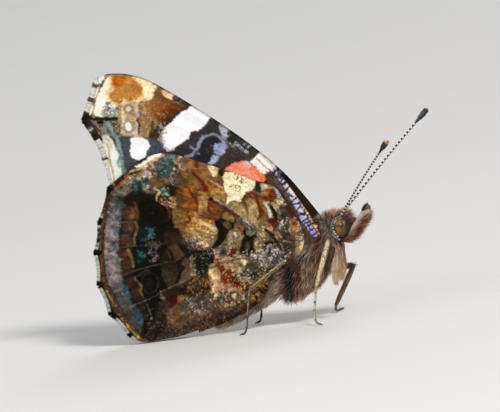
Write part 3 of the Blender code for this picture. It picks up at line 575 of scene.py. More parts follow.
    # costal part: speckled bands, crescent, orange and dark lines
    c.patch((108, 101, 88), "112,192 120,186 128,176 136,170 150,164 162,155 178,154 188,160 186,172 178,186 166,192 150,194 136,190 124,196", 3.0)
    c.flecks((212, 196, 180), "118,184 130,175 140,171 150,172 152,180 146,190 134,184", 0.5, amount=0.75, seed=15)
    c.flecks((216, 196, 182), "142,170 158,160 166,158 160,174 152,180 146,178", 0.6, amount=0.78, seed=16)
    c.flecks((214, 198, 182), "170,160 186,156 188,166 180,184 170,182", 0.55, amount=0.78, seed=17)
    c.flecks((40, 36, 34), "120,186 140,178 170,160 186,158 180,184 150,192 128,194", 0.22, amount=0.75, seed=27)
    c.patch((62, 75, 74), "156,170 163,161 170,158 174,164 171,174 166,180 159,180", 2.5, 0.85)
    c.flecks((104, 150, 150), "157,168 165,158 178,154 176,162 168,170 161,178", 0.6, amount=0.8, seed=18)
    c.patch((35, 45, 42), "133,184 140,180 148,178 147,185 142,192 134,194", 2.5, 0.85)
    c.flecks((98, 140, 140), "134,184 146,177 146,188 136,192", 0.5, amount=0.75, seed=20)
    c.patch((103, 87, 61), "149,180 158,177 168,179 166,185 156,189 151,186", 2.5)
    c.line((150, 104, 56), "153,187.6 160,184 169,181.5", (2.0, 2.6), 2.4, 0.8)
    c.patch((37, 27, 15), "156,190 166,186 180,188 184,196 178,204 166,203 157,198", 3.0)
    c.line(CREAM_SPOT, "154,188.6 159.4,191 157,196.6 156.4,201", (2.0, 3.4, 2.0), 2.0, 0.8)
    c.blob((63, 88, 83), (164.6, 191.6), (3.4, 4.2), 0, 3.0, 0.8)
    c.flecks((150, 186, 190), "161,188 169,188 169,196 162,196", 0.3, amount=0.75, seed=22)
    c.flecks((176, 142, 102), "158,199 178,196 186,204 170,208", 0.35, amount=0.7, seed=23)
    c.flecks((216, 200, 190), "163,200 175,204 174,208 163,205", 0.35, amount=0.75, seed=31)
    c.patch(CREAM_WHITE, "134,167.6 140,163.8 147,158.8 154,153.8 160,151.4 162.6,153.4 156,158.4 148.6,163.4 141,167.2", 1.3)
    c.line((232, 196, 142), "125,177.4 133,171.6 141,168.6 149,164 156,159 163.4,155", (2.2, 2.4, 2.8, 1.6), 1.5)
    c.line((46, 26, 16), "117,184 124,178.6 131,174 140,171.4", (2.4, 2.6, 1.2), 1.6, 0.9)
    c.line((176, 112, 56), "111,191.6 118,186.6 124,180.6 129,176", (2.4, 3.0, 1.8), 1.6, 0.85)
    # golden middle: translucent cells, darker at their edges
    c.patch((147, 107, 66), "182,158 190,159 198,162 209,166.5 206,170 196,169 184,169", 2.5)
    c.patch((131, 91, 42), "184,170 192,171.6 197,178 203,185 202,189 190,187 180,184 178,177", 3.0)
    c.patch((73, 57, 45), "173,174 182,174 186,182 176,187 172,180", 4.0, 0.8)
    c.patch((152, 114, 63), "197,172.4 206,171.5 214,176 222,182.6 214,183.6 204,182 199,178", 1.8)
    c.patch((166, 106, 40), "205,183 214,183.6 222,187 224,192 214,189.6 207,189", 3.0, 0.95)
    c.patch((158, 126, 72), "212,190 222,190.6 226,197 225.6,202 214,198", 2.4)
    c.patch((149, 92, 26), "182,189 189,187.6 195,197 197,208 188,207 182,202", 3.0, 0.95)
    c.patch((104, 75, 33), "176,190 183,189 184,200 182,206 176,202", 3.4, 0.9)
    c.patch((172, 134, 80), "198,191.6 206,192 208.6,203 207,214 199,213 198,203", 2.4)
    c.patch((103, 85, 47), "203,212 209,210 210,216 204,216", 2.6, 0.8)
    c.patch((123, 92, 49), "173,208 185,210 186,217 188,222 184,227 175,226 172,216", 3.0)
    c.patch((173, 123, 67), "188,212 198,213 212,220 213,226 188,226 190,220", 3.4, 0.9)
    c.patch((132, 77, 30), "209,203 217,205 222,212 217,219 210,215", 2.2, 0.95)
    c.patch((145, 121, 83), "206,225 214,223.6 218.6,231 217.4,240 211,246.6 204,244 202,234", 2.4)
    c.line((150, 96, 50), "174,227 190,229 206,226.6", (2.2, 3.0, 1.6), 2.0, 0.85)
    c.patch((160, 122, 69), "185,229.6 206,229 207,236 188,235.6", 2.5, 0.9)
    c.line((206, 160, 104), "180,221 190,219.6 200,221.6 211,227.6", (2.0, 3.4, 2.4), 3.0, 0.7)
    c.line((236, 206, 158), "203,224 209,226.4 213.6,231.4", (2.0, 3.0, 2.0), 2.0, 0.75)
    c.line((218, 184, 130), "186,232 196,232.6 206,235.4", (1.6, 2.6, 1.6), 2.2, 0.7)
    c.line((226, 196, 150), "190,228.4 200,229.4 208,233", (1.2, 1.8), 1.6, 0.7)
    c.blob((226, 192, 140), (202, 224.4), (2.4, 1.6), 0, 2.0, 0.75)
    c.flecks((240, 212, 164), "196,221 214,222 216,234 206,246 190,238", 0.16, amount=0.7, seed=25)
    c.patch((97, 92, 79), "182,238 192,236 200,239 196,247 186,244", 3.0, 0.9)
    c.patch((52, 42, 32), "172,236 182,238 192,243 200,248 206,250 198,256 184,250 174,246", 3.0, 0.7)
    c.flecks((226, 214, 196), "184,236 198,237 208,243 206,249 192,247", 0.36, amount=0.7, seed=26)
    c.flecks((82, 76, 50), "178,172 206,174 222,186 214,198 200,212 184,206 176,190", 0.14, amount=0.45, seed=29)
    for run, width, colour in (("192,170.8 195,175.6 199.4,179.4 202.4,183 205.4,188.6", (1.8, 2.8, 6.0), DARK_RUST), ("191,171 198,169.8 206,170.8", (1.4, 0.8), (124, 62, 24)), ("196.4,160.6 196.8,165.4", (3.8, 4.6), (112, 46, 18)), ("189.4,189.4 192,195 195.4,199 196.8,204.6 197.2,210", (1.4, 2.6, 2.6), (110, 46, 12)), ("189,211 186.8,215 190.4,219.8 186,223 184,228.6", (1.4, 2.6, 1.4), (116, 52, 16)), ("208.6,203 208,208 210.6,213.6", (2.4, 1.8), (100, 42, 16)), ("200,215.4 210,218.6 218,220", (1.6, 2.2), (94, 42, 24))):
        c.line(colour, run, width, 1.3, 0.92)
    for run, width in (("176,184 188,187.4 198,190 209,191.6", (1.0, 1.8)), ("164,202.5 176,206 190,209 203,213 214,219", (1.2, 1.0))):
        c.line((92, 45, 18), run, width, 1.2, 0.7)
    c.line((204, 186, 178), "209.6,180.4 216,183.6 222.6,187.6", (0.9, 1.4), 1.2, 0.8)
    c.line((92, 68, 56), "210,176.6 216,179 222,183", (3.0, 3.8), 2.2, 0.75)
    # cream at the costa and the big cream patch below the coral band
    c.patch((233, 209, 172), "207.6,165.8 211,165.2 218.4,168.4 218,173 215.6,177 211,174.4", 1.8)
    c.patch((54, 46, 26), "218.4,169.4 223.4,170.4 222.6,176 219,175.6", 1.6)
    c.patch((252, 236, 200), "222.6,176.6 225.4,172 230,171.4 243,175.8 256,180.4 255.6,186.6 251.4,190.6 245.6,192.4 242.6,198 240,202.6 234,200.8 229.4,201.2 227.6,206.4 226.4,203.4 227.4,197 225,190 223,183", 1.2, sharp=True)
    for run, width, colour in (("236.6,179 238.4,176.6", 0.9, (86, 76, 44)), ("240.6,184 243.6,181.4", (1.4, 0.8), (92, 84, 52)), ("229.4,187.4 232.4,186", (1.0, 1.4), (160, 104, 62)), ("238.6,186.6 240.6,189.6 238.4,191", (1.2, 1.2), (120, 84, 44))):
        c.line(colour, run, width, 0.9, 0.8)
    c.flecks((96, 86, 56), "232,174.6 241,175.6 247,180 246,186 239,181.6 233,179", 0.16, amount=0.66, seed=34, clump=0.5)
    c.flecks((150, 96, 60), "228,184 236,185 241,189 236,192.6 230,190", 0.2, amount=0.6, seed=37, clump=0.5)
    c.patch((49, 46, 36), "256,183 259.4,183.6 261.6,187 260.6,191.4 257.6,193 254.6,191 254.6,187", 1.6)
    c.patch((192, 177, 153), "261,184 266,184 267.6,188 264.6,191 261.6,190", 1.8, 0.9)
    # tan lobe outlined in rust, and its neighbours
    c.patch((164, 138, 90), "229,203.4 234,201.4 241,203.6 245.6,211 247,219.6 240,216 233,210", 2.0)
    c.patch((166, 142, 96), "247,200 254,199 256.6,207 258.6,215 259,224 256,229 251,224 247,214", 2.0)
    c.line((145, 80, 25), "246,197.6 254,197.6 261,206 264,218", (2.6, 4.4, 3.0), 2.2, 0.85)
    c.line((128, 60, 24), "243.4,199.4 246.6,195.4 252,194 257.6,196.6", (1.8, 2.6, 2.6), 1.6, 0.92)
    c.line(DARK_RUST, "256,197 258,203.6 260.4,209.4 260,215 257.6,219.6", (2.4, 3.2, 1.6), 1.5, 0.92)
    c.line((112, 66, 32), "243.4,199.6 246,206 247.6,212 247.2,217", (1.6, 1.4), 1.4, 0.85)
    c.patch((126, 62, 15), "262.6,192 267,188.6 273,189.4 277,194 274.6,200 268,202 263,199", 2.0, 0.95)
    c.line((98, 36, 10), "271,189.6 275.6,193.6 275,199 270.6,200.8", (1.8, 3.4, 2.2), 1.6, 0.9)
    c.blob((169, 133, 84), (265.4, 193.4), (3.0, 2.2), 0, 2.2, 0.8)
    c.patch((200, 171, 134), "263,201 272,202 277,197 283,199 284,206 281,214 274,210 266,206", 2.4, 0.9)
    c.blob((252, 238, 215), (280.4, 200), (3.0, 2.6), 30, 2.2, 0.85)
    c.patch((176, 186, 208), "273,185.4 277,188 280.4,194 282,198 279,197 275,191", 1.6, 0.9)
    c.flecks((58, 52, 46), "262,200 284,198 284,214 266,222", 0.24, amount=0.75, seed=35)
    c.line((222, 216, 208), "264.6,203.6 268,209 270,216 269.6,222", (2.8, 3.6, 2.2), 1.6, 0.9)
    c.line((24, 20, 14), "270.6,206 274,212 276,219 278.6,228", (2.0, 4.0, 2.6), 1.4)
    c.patch((90, 29, 5), "267.6,221 272,218.6 275.6,222 275.4,229 270,229", 2.0, 0.92)
    c.patch((74, 30, 26), "283,205 287,202.4 292,203 297,210 300,217.4 293,218.6 287,212.4", 1.8, 0.95)
    c.blob((226, 176, 156), (285.6, 204.4), 1.2, 0, 1.2, 0.9)
    c.patch((57, 65, 63), "279.6,205 283,206 287.4,213 287,218 281.6,219 280,212", 2.0, 0.9)
    # speckled scales of the root; the white specks are partly pale scales and partly painted glints
    c.patch((70, 63, 52), "277,220 289,218 292,226 289,236 292,246 291,252 282,252 279,238", 2.2, 0.95)
    c.flecks((222, 226, 228), "278,218 290,218 291,228 289,240 292,252 281,252 278,232", 0.21, amount=0.85, size=1.1, seed=36)
    c.patch((160, 113, 63), "290,219 295,219 297,228 296,236 299,243 295,243 291,234", 2.0, 0.9)
    c.blob((126, 55, 11), (295, 223.4), (3.2, 2.2), 0, 1.8, 0.9)
    c.flecks((236, 208, 168), "288,218 300,220 298,242 290,236", 0.2, amount=0.7, seed=38)
    c.patch((114, 103, 82), "298,224 304,228 307,238 301,242 297,234", 2.0, 0.9)
    c.flecks((240, 238, 234), "297,222 305,226 309,240 300,243", 0.29, amount=0.85, size=1.1, seed=39)
    c.line((240, 204, 152), "298,252 301.6,246 306,239.6", (5.0, 3.2), 2.0, 0.95)
    c.flecks((204, 170, 128), "262,224 280,226 282,242 276,240 266,232", 0.3, amount=0.75, seed=42)
    c.line((51, 36, 19), "264,229 270,233.4 275,240 281,250", (1.8, 4.0, 3.0), 1.4, 0.95)
    c.blob((30, 23, 11), (269, 246.6), (6.2, 5.6), 0, 1.5)
    c.blob((118, 115, 109), (269.8, 247.2), (3.4, 2.8), 0, 1.8)
    c.flecks((216, 220, 222), "265,243 275,243 275,251 266,251", 0.14, amount=0.8, seed=41)
    # black marks of the middle, with olive hearts
    c.patch((137, 108, 67), "222,212.6 227,212.4 232.4,216.4 234,220.4 230,222 225,219", 1.4)
    c.line((58, 32, 16), "220.6,217 221,213.4 226,211 232,214 235.4,220 233,223.6", (1.0, 1.4, 1.4), 1.1)
    c.patch(SOOT, "214.4,222 218,219.8 222,218 225,220 231,222.6 235,221.6 233.6,227 229,231 226.4,239 219,246 208,250.6 215.6,241.6 218.4,232 216.6,227.4", 1.4)
    c.patch((87, 80, 43), "222.6,223 227,221.6 231,225.4 229.4,229 225.4,228.6", 1.8)
    c.patch((138, 122, 91), "228,234 233,230 240,228.6 243,235 240,242 233,247 225,247 226,240", 2.2)
    c.line((138, 66, 32), "238.6,228.4 241,230.6 241.6,233.6", (2.6, 1.8), 1.6, 0.85)
    c.line((240, 230, 214), "234,232.4 236.6,237.6", (1.2, 1.8), 1.2, 0.9)
    c.line((214, 198, 172), "226.4,246 232,241.4", (1.2, 1.8), 1.4, 0.7)
    c.flecks((88, 72, 62), "225,232 236,230 238,246 222,250", 0.2, amount=0.7, seed=43)
    c.blob((20, 13, 5), (250.4, 231.8), (7.0, 6.4), 0, 1.4)
    c.blob((115, 112, 72), (250.6, 232), (4.6, 4.2), 0, 1.6)
    c.patch((25, 21, 8), "244.6,236.4 251,237.4 256.6,235.4 253.4,242 254.4,249 252,255 244,255.4 239.8,251 241.6,243.6", 1.4)
    c.blob((80, 76, 60), (247.4, 246), (2.6, 4.4), 10, 2.4, 0.85)
    c.patch((132, 113, 81), "257.4,229 262,227.6 265.6,234 264.4,242 262.6,250 255.6,250.6 254.4,244 257.4,237", 1.8)
    c.flecks((238, 226, 196), "255,228 265,228 264,250 255,251", 0.21, amount=0.8, seed=44)
    c.blob((60, 56, 74), (222, 251.6), (3.0, 3.0), 0, 2.6, 0.8)
    c.patch((86, 35, 12), "230.6,250 234,246.6 237,248 236.4,253 231.6,257.6 228,256.6", 1.8, 0.92)
    c.patch((150, 126, 104), "210,252 218,248.6 222,256 230,258 226,262 214,260", 2.5, 0.8)
    c.flecks((226, 218, 212), "212,248 246,248 256,256 250,260 214,260", 0.21, amount=0.75, seed=45)
    # white streaks along the two long veins
    c.line((87, 54, 34), "213,201 226,208.6 238,217 248,226", (3.6, 4.8), 2.4, 0.85)
    c.patch((98, 88, 74), "238,217 246,220 256,226 264,232 256,232 246,228 240,223", 2.4, 0.85)
    for run, width in (("213,199 220,202 228.4,207.6 231,209.4", (2.0, 1.2)), ("231,207.6 237.6,213 245.6,220 251,225", (1.0, 1.4)), ("219,202.8 227,207", (0.8, 1.0))):
        c.line((161, 144, 130), run, width, 1.0, 0.92)
    c.blob((45, 24, 8), (210.8, 199.6), (2.4, 1.8), 0, 1.6)
    c.flecks((206, 198, 216), "240,218 252,223 264,232 254,233 244,226", 0.24, amount=0.8, seed=46)
    c.blob((84, 92, 90), (241, 222.4), (2.0, 2.2), 0, 1.8, 0.8)
    # smoky cells between the eyespots and the black root bar
    for colour, edge in (((56, 39, 26), "164,232 180,233 179,243 172,246 165,244"), ((80, 59, 40), "167,246 178,246 184,254 178,260 170,258"), ((60, 49, 36), "162,266 175,264 178,270 176,280 170,288 163,280"), ((102, 84, 60), "183,260 191,258 196,266 195,276 186,283 178,286 181,274")):
        c.patch(colour, edge, 2.6, 0.92)
    for run, width in (("164,231 163,238", (1.4, 1.4)), ("165,246 169,250.6 172,255.4 172.4,260", (2.2, 2.0)), ("176.6,261.6 180.6,265.4 183.4,268.6 179.6,274 176.6,282", (1.8, 3.2, 2.2))):
        c.line((30, 8, 5), run, width, 1.6, 0.9)
    c.patch((24, 24, 20), "178,242 186,247 198,251 212,249.6 214,262 209,272 200,277 196,266 190,256 181,250", 2.2)
    c.flecks((134, 130, 116), "186,246 212,250 213,270 200,278 194,262", 0.16, amount=0.75, size=1.1, seed=47)
    c.flecks((176, 168, 144), "190,256 197,260 200,276 193,284", 0.3, amount=0.7, seed=48)
    # rear part: tan ground, red spots, cream crescents, black speckle
    c.patch((167, 138, 101), "223,261 236,260 248,260 247,270 238,273 226,270 219,266", 2.4)
    c.patch((227, 204, 167), "240.4,259 246,259.4 249.6,266 248,270.6 243.6,267", 2.0)
    c.patch((155, 126, 97), "209,264 216,265 221,272 220,279 213,277", 2.4, 0.9)
    c.patch((211, 181, 138), "209,269 214,268 219,272 220,279 223,286 217,290 212,289.4 209,282", 2.0)
    c.patch(CREAM_SPOT, "222,286 230,288 238,291 234,295 222,294", 2.0, 0.8)
    c.patch((166, 130, 100), "222,283 240,289 246,293 236,297 222,295 212,292", 3.0, 0.85)
    for colour, edge in (((146, 78, 44), "214,260 218.6,258 221.6,262 219.6,265.6 215,264.6"), (RED_RUST, "219,267 223,266 224.6,271.6 221,272.6"), (RED_RUST, "224,271.4 229,269.6 233.6,271.6 232.6,275 227,275.4"), ((136, 50, 24), "220.6,277.6 226,275.4 228.6,280 224,283.4"), ((116, 36, 16), "231.4,280.6 236,279 241,283.6 246.6,288.6 243.6,291 237.6,288 233,285.6")):
        c.patch(colour, edge, 1.8, 0.92)
    c.flecks((236, 206, 168), "212,262 236,262 246,290 224,292 212,288", 0.13, amount=0.75, seed=49)
    c.flecks((70, 44, 32), "222,262 248,268 250,292 226,292", 0.1, amount=0.7, seed=50)
    c.patch((71, 57, 39), "178,288 196,279 208,273 210,290 204,298 194,298 184,296", 3.0, 0.85)
    c.flecks((186, 134, 84), "190,282 209,272 211,292 200,299 184,294", 0.24, amount=0.75, size=1.1, seed=51)
    c.flecks((20, 18, 14), "180,288 209,274 211,292 200,299 184,298", 0.2, amount=0.8, size=1.1, seed=63)
    c.patch((84, 74, 60), "184,300 206,295 218,291 246,293 252,300 222,312 196,318 182,316", 3.0)
    c.flecks((226, 202, 168), "208,291 248,292 244,304 212,306", 0.30, amount=0.8, size=1.1, seed=52)
    c.flecks((186, 178, 182), "178,302 198,298 210,304 206,312 182,316", 0.24, amount=0.75, seed=53)
    c.blob((46, 51, 42), (200, 299.6), (5.0, 2.6), -10, 2.6, 0.8)
    c.patch((83, 75, 59), "248,262 258,263.4 262,268 274,262 270,272 258,280 244,282 236,276 242,270", 2.2, 0.92)
    c.flecks((214, 214, 210), "238,270 262,268 280,258 282,266 262,280 242,286", 0.23, amount=0.85, size=1.1, seed=54)
    c.flecks((224, 190, 144), "236,274 252,278 254,290 240,288", 0.25, amount=0.75, seed=55)
    c.patch((123, 118, 112), "254,255 266,252 280,250 288,254 284,262 268,267 258,263", 2.6, 0.9)
    c.flecks((238, 240, 242), "254,252 288,250 286,262 262,268", 0.19, amount=0.85, size=1.1, seed=56)
    c.flecks((40, 38, 40), "254,252 290,248 288,264 262,268", 0.24, amount=0.8, seed=57)
    c.patch((102, 78, 54), "250,284 262,274 270,272 268,284 266,298 256,300 248,294", 2.6, 0.9)
    c.flecks((206, 160, 100), "250,280 269,272 266,298 250,298", 0.21, amount=0.75, size=1.1, seed=58)
    c.flecks((28, 22, 18), "246,276 270,270 268,300 246,300", 0.28, amount=0.8, seed=59)
    c.blob((140, 66, 28), (262, 283), (2.0, 2.6), 0, 1.6, 0.85)
    c.line((59, 54, 44), "160,293.5 176,286.4 190,279.4 206,270.6 222,263 240,258.6 258,256.6", (1.0, 1.3, 0.8), 1.2, 0.8)
    c.line((150, 142, 126), "160,292 176,285 190,278", (0.8, 0.8), 1.0, 0.7)
    # red spot near the rear corner, with the brown round it
    c.patch((48, 31, 15), "161,293 174,288 184,288 186,294 178,300 168,300", 2.6, 0.9)
    c.patch((69, 52, 42), "160,302 168,300 171,307 165,313 160,309", 2.6, 0.85)
    c.patch((74, 15, 7), "169.6,306 171,301 174.6,297.6 178.4,296.6 178.6,300 175,304.6 171.4,308", 1.8)
    c.patch((147, 106, 59), "178,296.6 184,296 182.6,301 177,303.6", 2.2, 0.85)
    # the rear edge, hidden in the life pose: sooty with grey and gold scales
    c.flecks((120, 104, 92), "150,318 180,308 230,312 190,345 150,345", 0.16, seed=60)
    c.flecks((150, 108, 60), "176,312 250,300 268,290 250,322 190,342", 0.16, seed=61)
    # margin: brown line with a golden edge, dark line, pale fringe and black teeth. The fringe is painted grey-white:
    # white with painted shade on it.
    c.line((59, 50, 41), "110,197 107.4,208 105,222 103.4,238 103,252 104,266 106.4,281 112,293 117.6,304 123,313 132,325 140,334", (1.6, 1.8, 1.6), 1.4, 0.85)
    c.line((94, 66, 36), "107.5,196 104.8,208 102.4,222 100.6,238 100.6,253 101.6,268 104,283 109,295 115,306 121,316 128,326 137,336 146,342", (3.2, 3.4, 3.6), 1.6)
    c.line((184, 142, 86), "100.6,226 99.4,238 99.6,250", (1.2, 1.6), 1.4, 0.75)
    c.line((176, 134, 80), "106.6,291 111,300 115,307", (1.6, 2.0), 1.4, 0.8)
    c.line((196, 156, 98), "118,315 123.4,321 130,329.6 139,338", (1.8, 2.6), 1.4, 0.85)
    c.flecks((60, 32, 18), "104,198 108,200 103,226 103,256 106,280 114,300 124,318 138,336 132,336 110,302 100,272 99,238", 0.2, amount=0.7, seed=62)
    # the white fringe, dimmed to grey-white as painted shade
    for run in ("103.6,197 101,206.4 98.8,216.6", "96.8,226 95,238 94,248.6", "94.6,257.4 96,269 96.4,281", "98,289.6 103.4,298 108.6,311", "113.6,320.6 121,326 127,334.6", "131,338 140,344.6 150,345.6", "152,345.6 168,343.4"):
        c.line((200, 204, 196), run, (4.0, 4.8, 4.0), 1.3)
    for run, width in (("103,194.4 106,190 111.6,189.6", (6.0, 7.0, 4.0)), ("97.4,222 100,220", (6.6, 4.6)), ("94.6,252.8 99,252.6", (6.4, 5.0)), ("97,284.4 99.8,286", (5.6, 4.6)), ("110.4,315 117,317.6", (6.0, 4.6)), ("128.6,336 131,335", (5.0, 4.0)), ("150,345 151.6,342", (4.0, 3.0))):
        c.line((16, 15, 12), run, width, 1.4)
    c.mottle(0.34, 1.13)


def spline_rows(rows, t):
    """Catmull-Rom through rows of numbers at many places; t counts rows."""
    rows = np.asarray(rows, float)
    i = np.clip(t.astype(int), 0, len(rows) - 2)
    f = (t - i)[:, None]
    a, b, c, d = rows[np.maximum(i - 1, 0)], rows[i], rows[i + 1], rows[np.minimum(i + 2, len(rows) - 1)]
    return b + 0.5 * f * (c - a + f * (2 * a - 5 * b + 4 * c - d + f * (3 * (b - c) + d - a)))


def sample(points, step):
    """Points at an even step along a smooth line through the given ones, without the last."""
    out = []
    for row in range(len(points) - 1):
        count = max(1, round(math.dist(points[row], points[row + 1]) / step))
        out.append(spline_rows(points, row + np.arange(count) / count))
    return np.vstack(out)


def unit(vectors):
    return vectors / np.maximum(np.linalg.norm(vectors, axis=-1, keepdims=True), 1e-12)


def link(name, mesh):
    made = bpy.data.objects.new(name, mesh)
    bpy.context.scene.collection.objects.link(made)
    return made


def fill_mesh(name, points, faces):
    """A mesh from points in mm and faces of one size, written in bulk."""
    mesh = bpy.data.meshes.new(name)
    faces = np.asarray(faces, np.int32)
    sides = faces.shape[1]
    mesh.vertices.add(len(points))
    mesh.vertices.foreach_set("co", (np.asarray(points, float) * MM).astype(np.float32).ravel())
    mesh.loops.add(faces.size)
    mesh.loops.foreach_set("vertex_index", faces.ravel())
    mesh.polygons.add(len(faces))
    mesh.polygons.foreach_set("loop_start", np.arange(0, faces.size, sides, dtype=np.int32))
    mesh.update(calc_edges=True)
    mesh.validate()
    return mesh


def set_colours(mesh, rgb, name="scales"):
    """A colour for each point, given as display values and stored as linear light."""
    layer = mesh.color_attributes.new(name, "FLOAT_COLOR", "POINT")
    rgba = np.ones((len(rgb), 4), np.float32)
    rgba[:, :3] = linear(rgb)
    layer.data.foreach_set("color", rgba.ravel())


def set_map(mesh, uv, wrap=None):
    """The OFBake map, with a place for each point; wrap is the height after which a round unwrap starts again."""
    corners = np.empty(len(mesh.loops), np.int32)
    mesh.loops.foreach_get("vertex_index", corners)
    places = uv[corners].reshape(-1, 3, 2)
    if wrap:
        v = places[:, :, 1]
        v += wrap * (v.max(1, keepdims=True) - v > wrap / 2)
    layer = mesh.uv_layers.new(name="OFBake")
    layer.uv.foreach_set("vector", places.astype(np.float32).ravel())


def shade_smooth(mesh):
    mesh.polygons.foreach_set("use_smooth", np.ones(len(mesh.polygons), bool))


def settle(piece, *materials, nodes=(), slot=None):
    """Gives the piece its materials and its body, and hides the solids that it stands for; the slot is not used."""
    for material in materials:
        piece.data.materials.append(material)
    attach(piece, "root")
    if nodes:
        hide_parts(*nodes)
    return piece


def outline_distance(x, y, outline):
    """Signed distance to a closed outline, positive inside."""
    best = np.full(len(x), 1e9)
    odd = np.zeros(len(x), bool)
    for (ax, ay), (bx, by) in zip(np.roll(outline, 1, 0), outline):
        dx, dy = bx - ax, by - ay
        f = np.clip(((x - ax) * dx + (y - ay) * dy) / (dx * dx + dy * dy + 1e-12), 0, 1)
        best = np.minimum(best, (x - ax - f * dx) ** 2 + (y - ay - f * dy) ** 2)
        if dy:
            odd ^= ((ay > y) != (by > y)) & (x < ax + (y - ay) * dx / dy)
    best = np.sqrt(best)
    return np.where(odd, best, -best)


def line_distance(x, y, points):
    best = np.full(len(x), 1e9)
    p = np.asarray(points, float)
    for a, b in zip(p, p[1:]):
        dx, dy = b - a
        f = np.clip(((x - a[0]) * dx + (y - a[1]) * dy) / (dx * dx + dy * dy + 1e-12), 0, 1)
        best = np.minimum(best, np.hypot(x - a[0] - f * dx, y - a[1] - f * dy))
    return best


class Tree:
    """Short words for building a node tree."""

    def __init__(self, tree):
        self.tree = tree

    def add(self, kind, settings=None, **inputs):
        node = self.tree.nodes.new(kind)
        for key, value in (settings or {}).items():
            setattr(node, key, value)
        for key, value in inputs.items():
            self.put(node, key.replace("_", " "), value)
        return node

    def put(self, node, key, value):
        socket = node.inputs[int(key) if key.isdigit() else key]
        if isinstance(value, bpy.types.NodeSocket):
            self.tree.links.new(value, socket)
        elif isinstance(value, bpy.types.Node):
            self.tree.links.new(value.outputs[0], socket)
        else:
            socket.default_value = value

    def math(self, operation, a, b=None, clamp=False):
        node = self.add("ShaderNodeMath", {"operation": operation, "use_clamp": clamp})
        self.put(node, "0", a)
        if b is not None:
            self.put(node, "1", b)
        return node.outputs[0]

    def mix(self, amount, a, b, blend="MIX"):
        node = self.add("ShaderNodeMix", {"data_type": "RGBA", "blend_type": blend})
        for index, value in ((0, amount), (6, a), (7, b)):
            if isinstance(value, bpy.types.NodeSocket):
                self.tree.links.new(value, node.inputs[index])
            else:
                node.inputs[index].default_value = value
        return node.outputs[2]


def shader_group(name, inputs, outputs):
    """A node group with its sockets; returns its tree and the two end nodes."""
    group = bpy.data.node_groups.new(name, "ShaderNodeTree")
    for socket, kind, value in inputs:
        made = group.interface.new_socket(socket, in_out="INPUT", socket_type=kind)
        if value is not None:
            made.default_value = value
    for socket, kind in outputs:
        group.interface.new_socket(socket, in_out="OUTPUT", socket_type=kind)
    tree = Tree(group)
    return group, tree, tree.add("NodeGroupInput"), tree.add("NodeGroupOutput")


def scale_grain():
    """Rows of small overlapping scales: a shade for each scale, and a height that rises to its free end."""
    group, t, start, end = shader_group(
        "scale_grain",
        (("Scale", "NodeSocketFloat", 9000.0), ("Variation", "NodeSocketFloat", 0.3), ("Colour", "NodeSocketColor", None)),
        (("Colour", "NodeSocketColor"), ("Height", "NodeSocketFloat"), ("Dust", "NodeSocketFloat")),
    )
    place = t.add("ShaderNodeTexCoord").outputs["Object"]
    turned = t.add("ShaderNodeMapping", Vector=place)
    turned.inputs["Rotation"].default_value = (0.0, 0.45, 0.0)
    turned.inputs["Scale"].default_value = (0.55, 1.0, 1.0)
    cells = t.add("ShaderNodeTexVoronoi", {"feature": "F1"}, Vector=turned, Scale=start.outputs["Scale"])
    cells.inputs["Randomness"].default_value = 0.75
    shade = t.add("ShaderNodeSeparateColor", Color=cells.outputs["Color"]).outputs[0]
    parts = t.add("ShaderNodeSeparateColor", Color=start.outputs["Colour"])
    palest = t.math("MINIMUM", parts.outputs[0], t.math("MINIMUM", parts.outputs[1], parts.outputs[2]))
    calm = t.math("SUBTRACT", 1.0, t.math("MULTIPLY", palest, 0.85))
    cloud_fine = t.add("ShaderNodeTexNoise", Vector=place, Scale=2600.0, Detail=4.0, Roughness=0.6)
    uneven = t.math("MULTIPLY", t.math("SUBTRACT", shade, 0.5), start.outputs["Variation"])
    uneven = t.math("ADD", uneven, t.math("MULTIPLY", t.math("SUBTRACT", cloud_fine.outputs[0], 0.5), 0.44))
    gain = t.math("ADD", 1.0, t.math("MULTIPLY", uneven, calm))
    tinted = t.add("ShaderNodeCombineColor", Red=gain, Green=gain, Blue=gain)
    t.put(end, "Colour", t.mix(1.0, start.outputs["Colour"], tinted.outputs[0], "MULTIPLY"))
    t.put(end, "Height", t.math("SUBTRACT", 1.0, cells.outputs["Distance"]))
    t.put(end, "Dust", shade)
    return group


def hair_grain():
    """Fine streaks and patches of shade in fur."""
    group, t, start, end = shader_group(
        "hair_grain",
        (("Scale", "NodeSocketFloat", 12000.0), ("Variation", "NodeSocketFloat", 0.4), ("Colour", "NodeSocketColor", None)),
        (("Colour", "NodeSocketColor"), ("Height", "NodeSocketFloat")),
    )
    place = t.add("ShaderNodeTexCoord").outputs["Object"]
    streak = t.add("ShaderNodeTexNoise", Vector=place, Scale=start.outputs["Scale"], Detail=3.0, Roughness=0.6)
    patch = t.add("ShaderNodeTexNoise", Vector=place, Scale=1800.0, Detail=2.0)
    both = t.math("ADD", t.math("SUBTRACT", streak.outputs[0], 0.5), t.math("MULTIPLY", t.math("SUBTRACT", patch.outputs[0], 0.5), 0.8))
    gain = t.math("ADD", 1.0, t.math("MULTIPLY", both, t.math("MULTIPLY", start.outputs["Variation"], 2.0)))
    tinted = t.add("ShaderNodeCombineColor", Red=gain, Green=gain, Blue=gain)
    t.put(end, "Colour", t.mix(1.0, start.outputs["Colour"], tinted.outputs[0], "MULTIPLY"))
    t.put(end, "Height", streak.outputs[0])
    return group


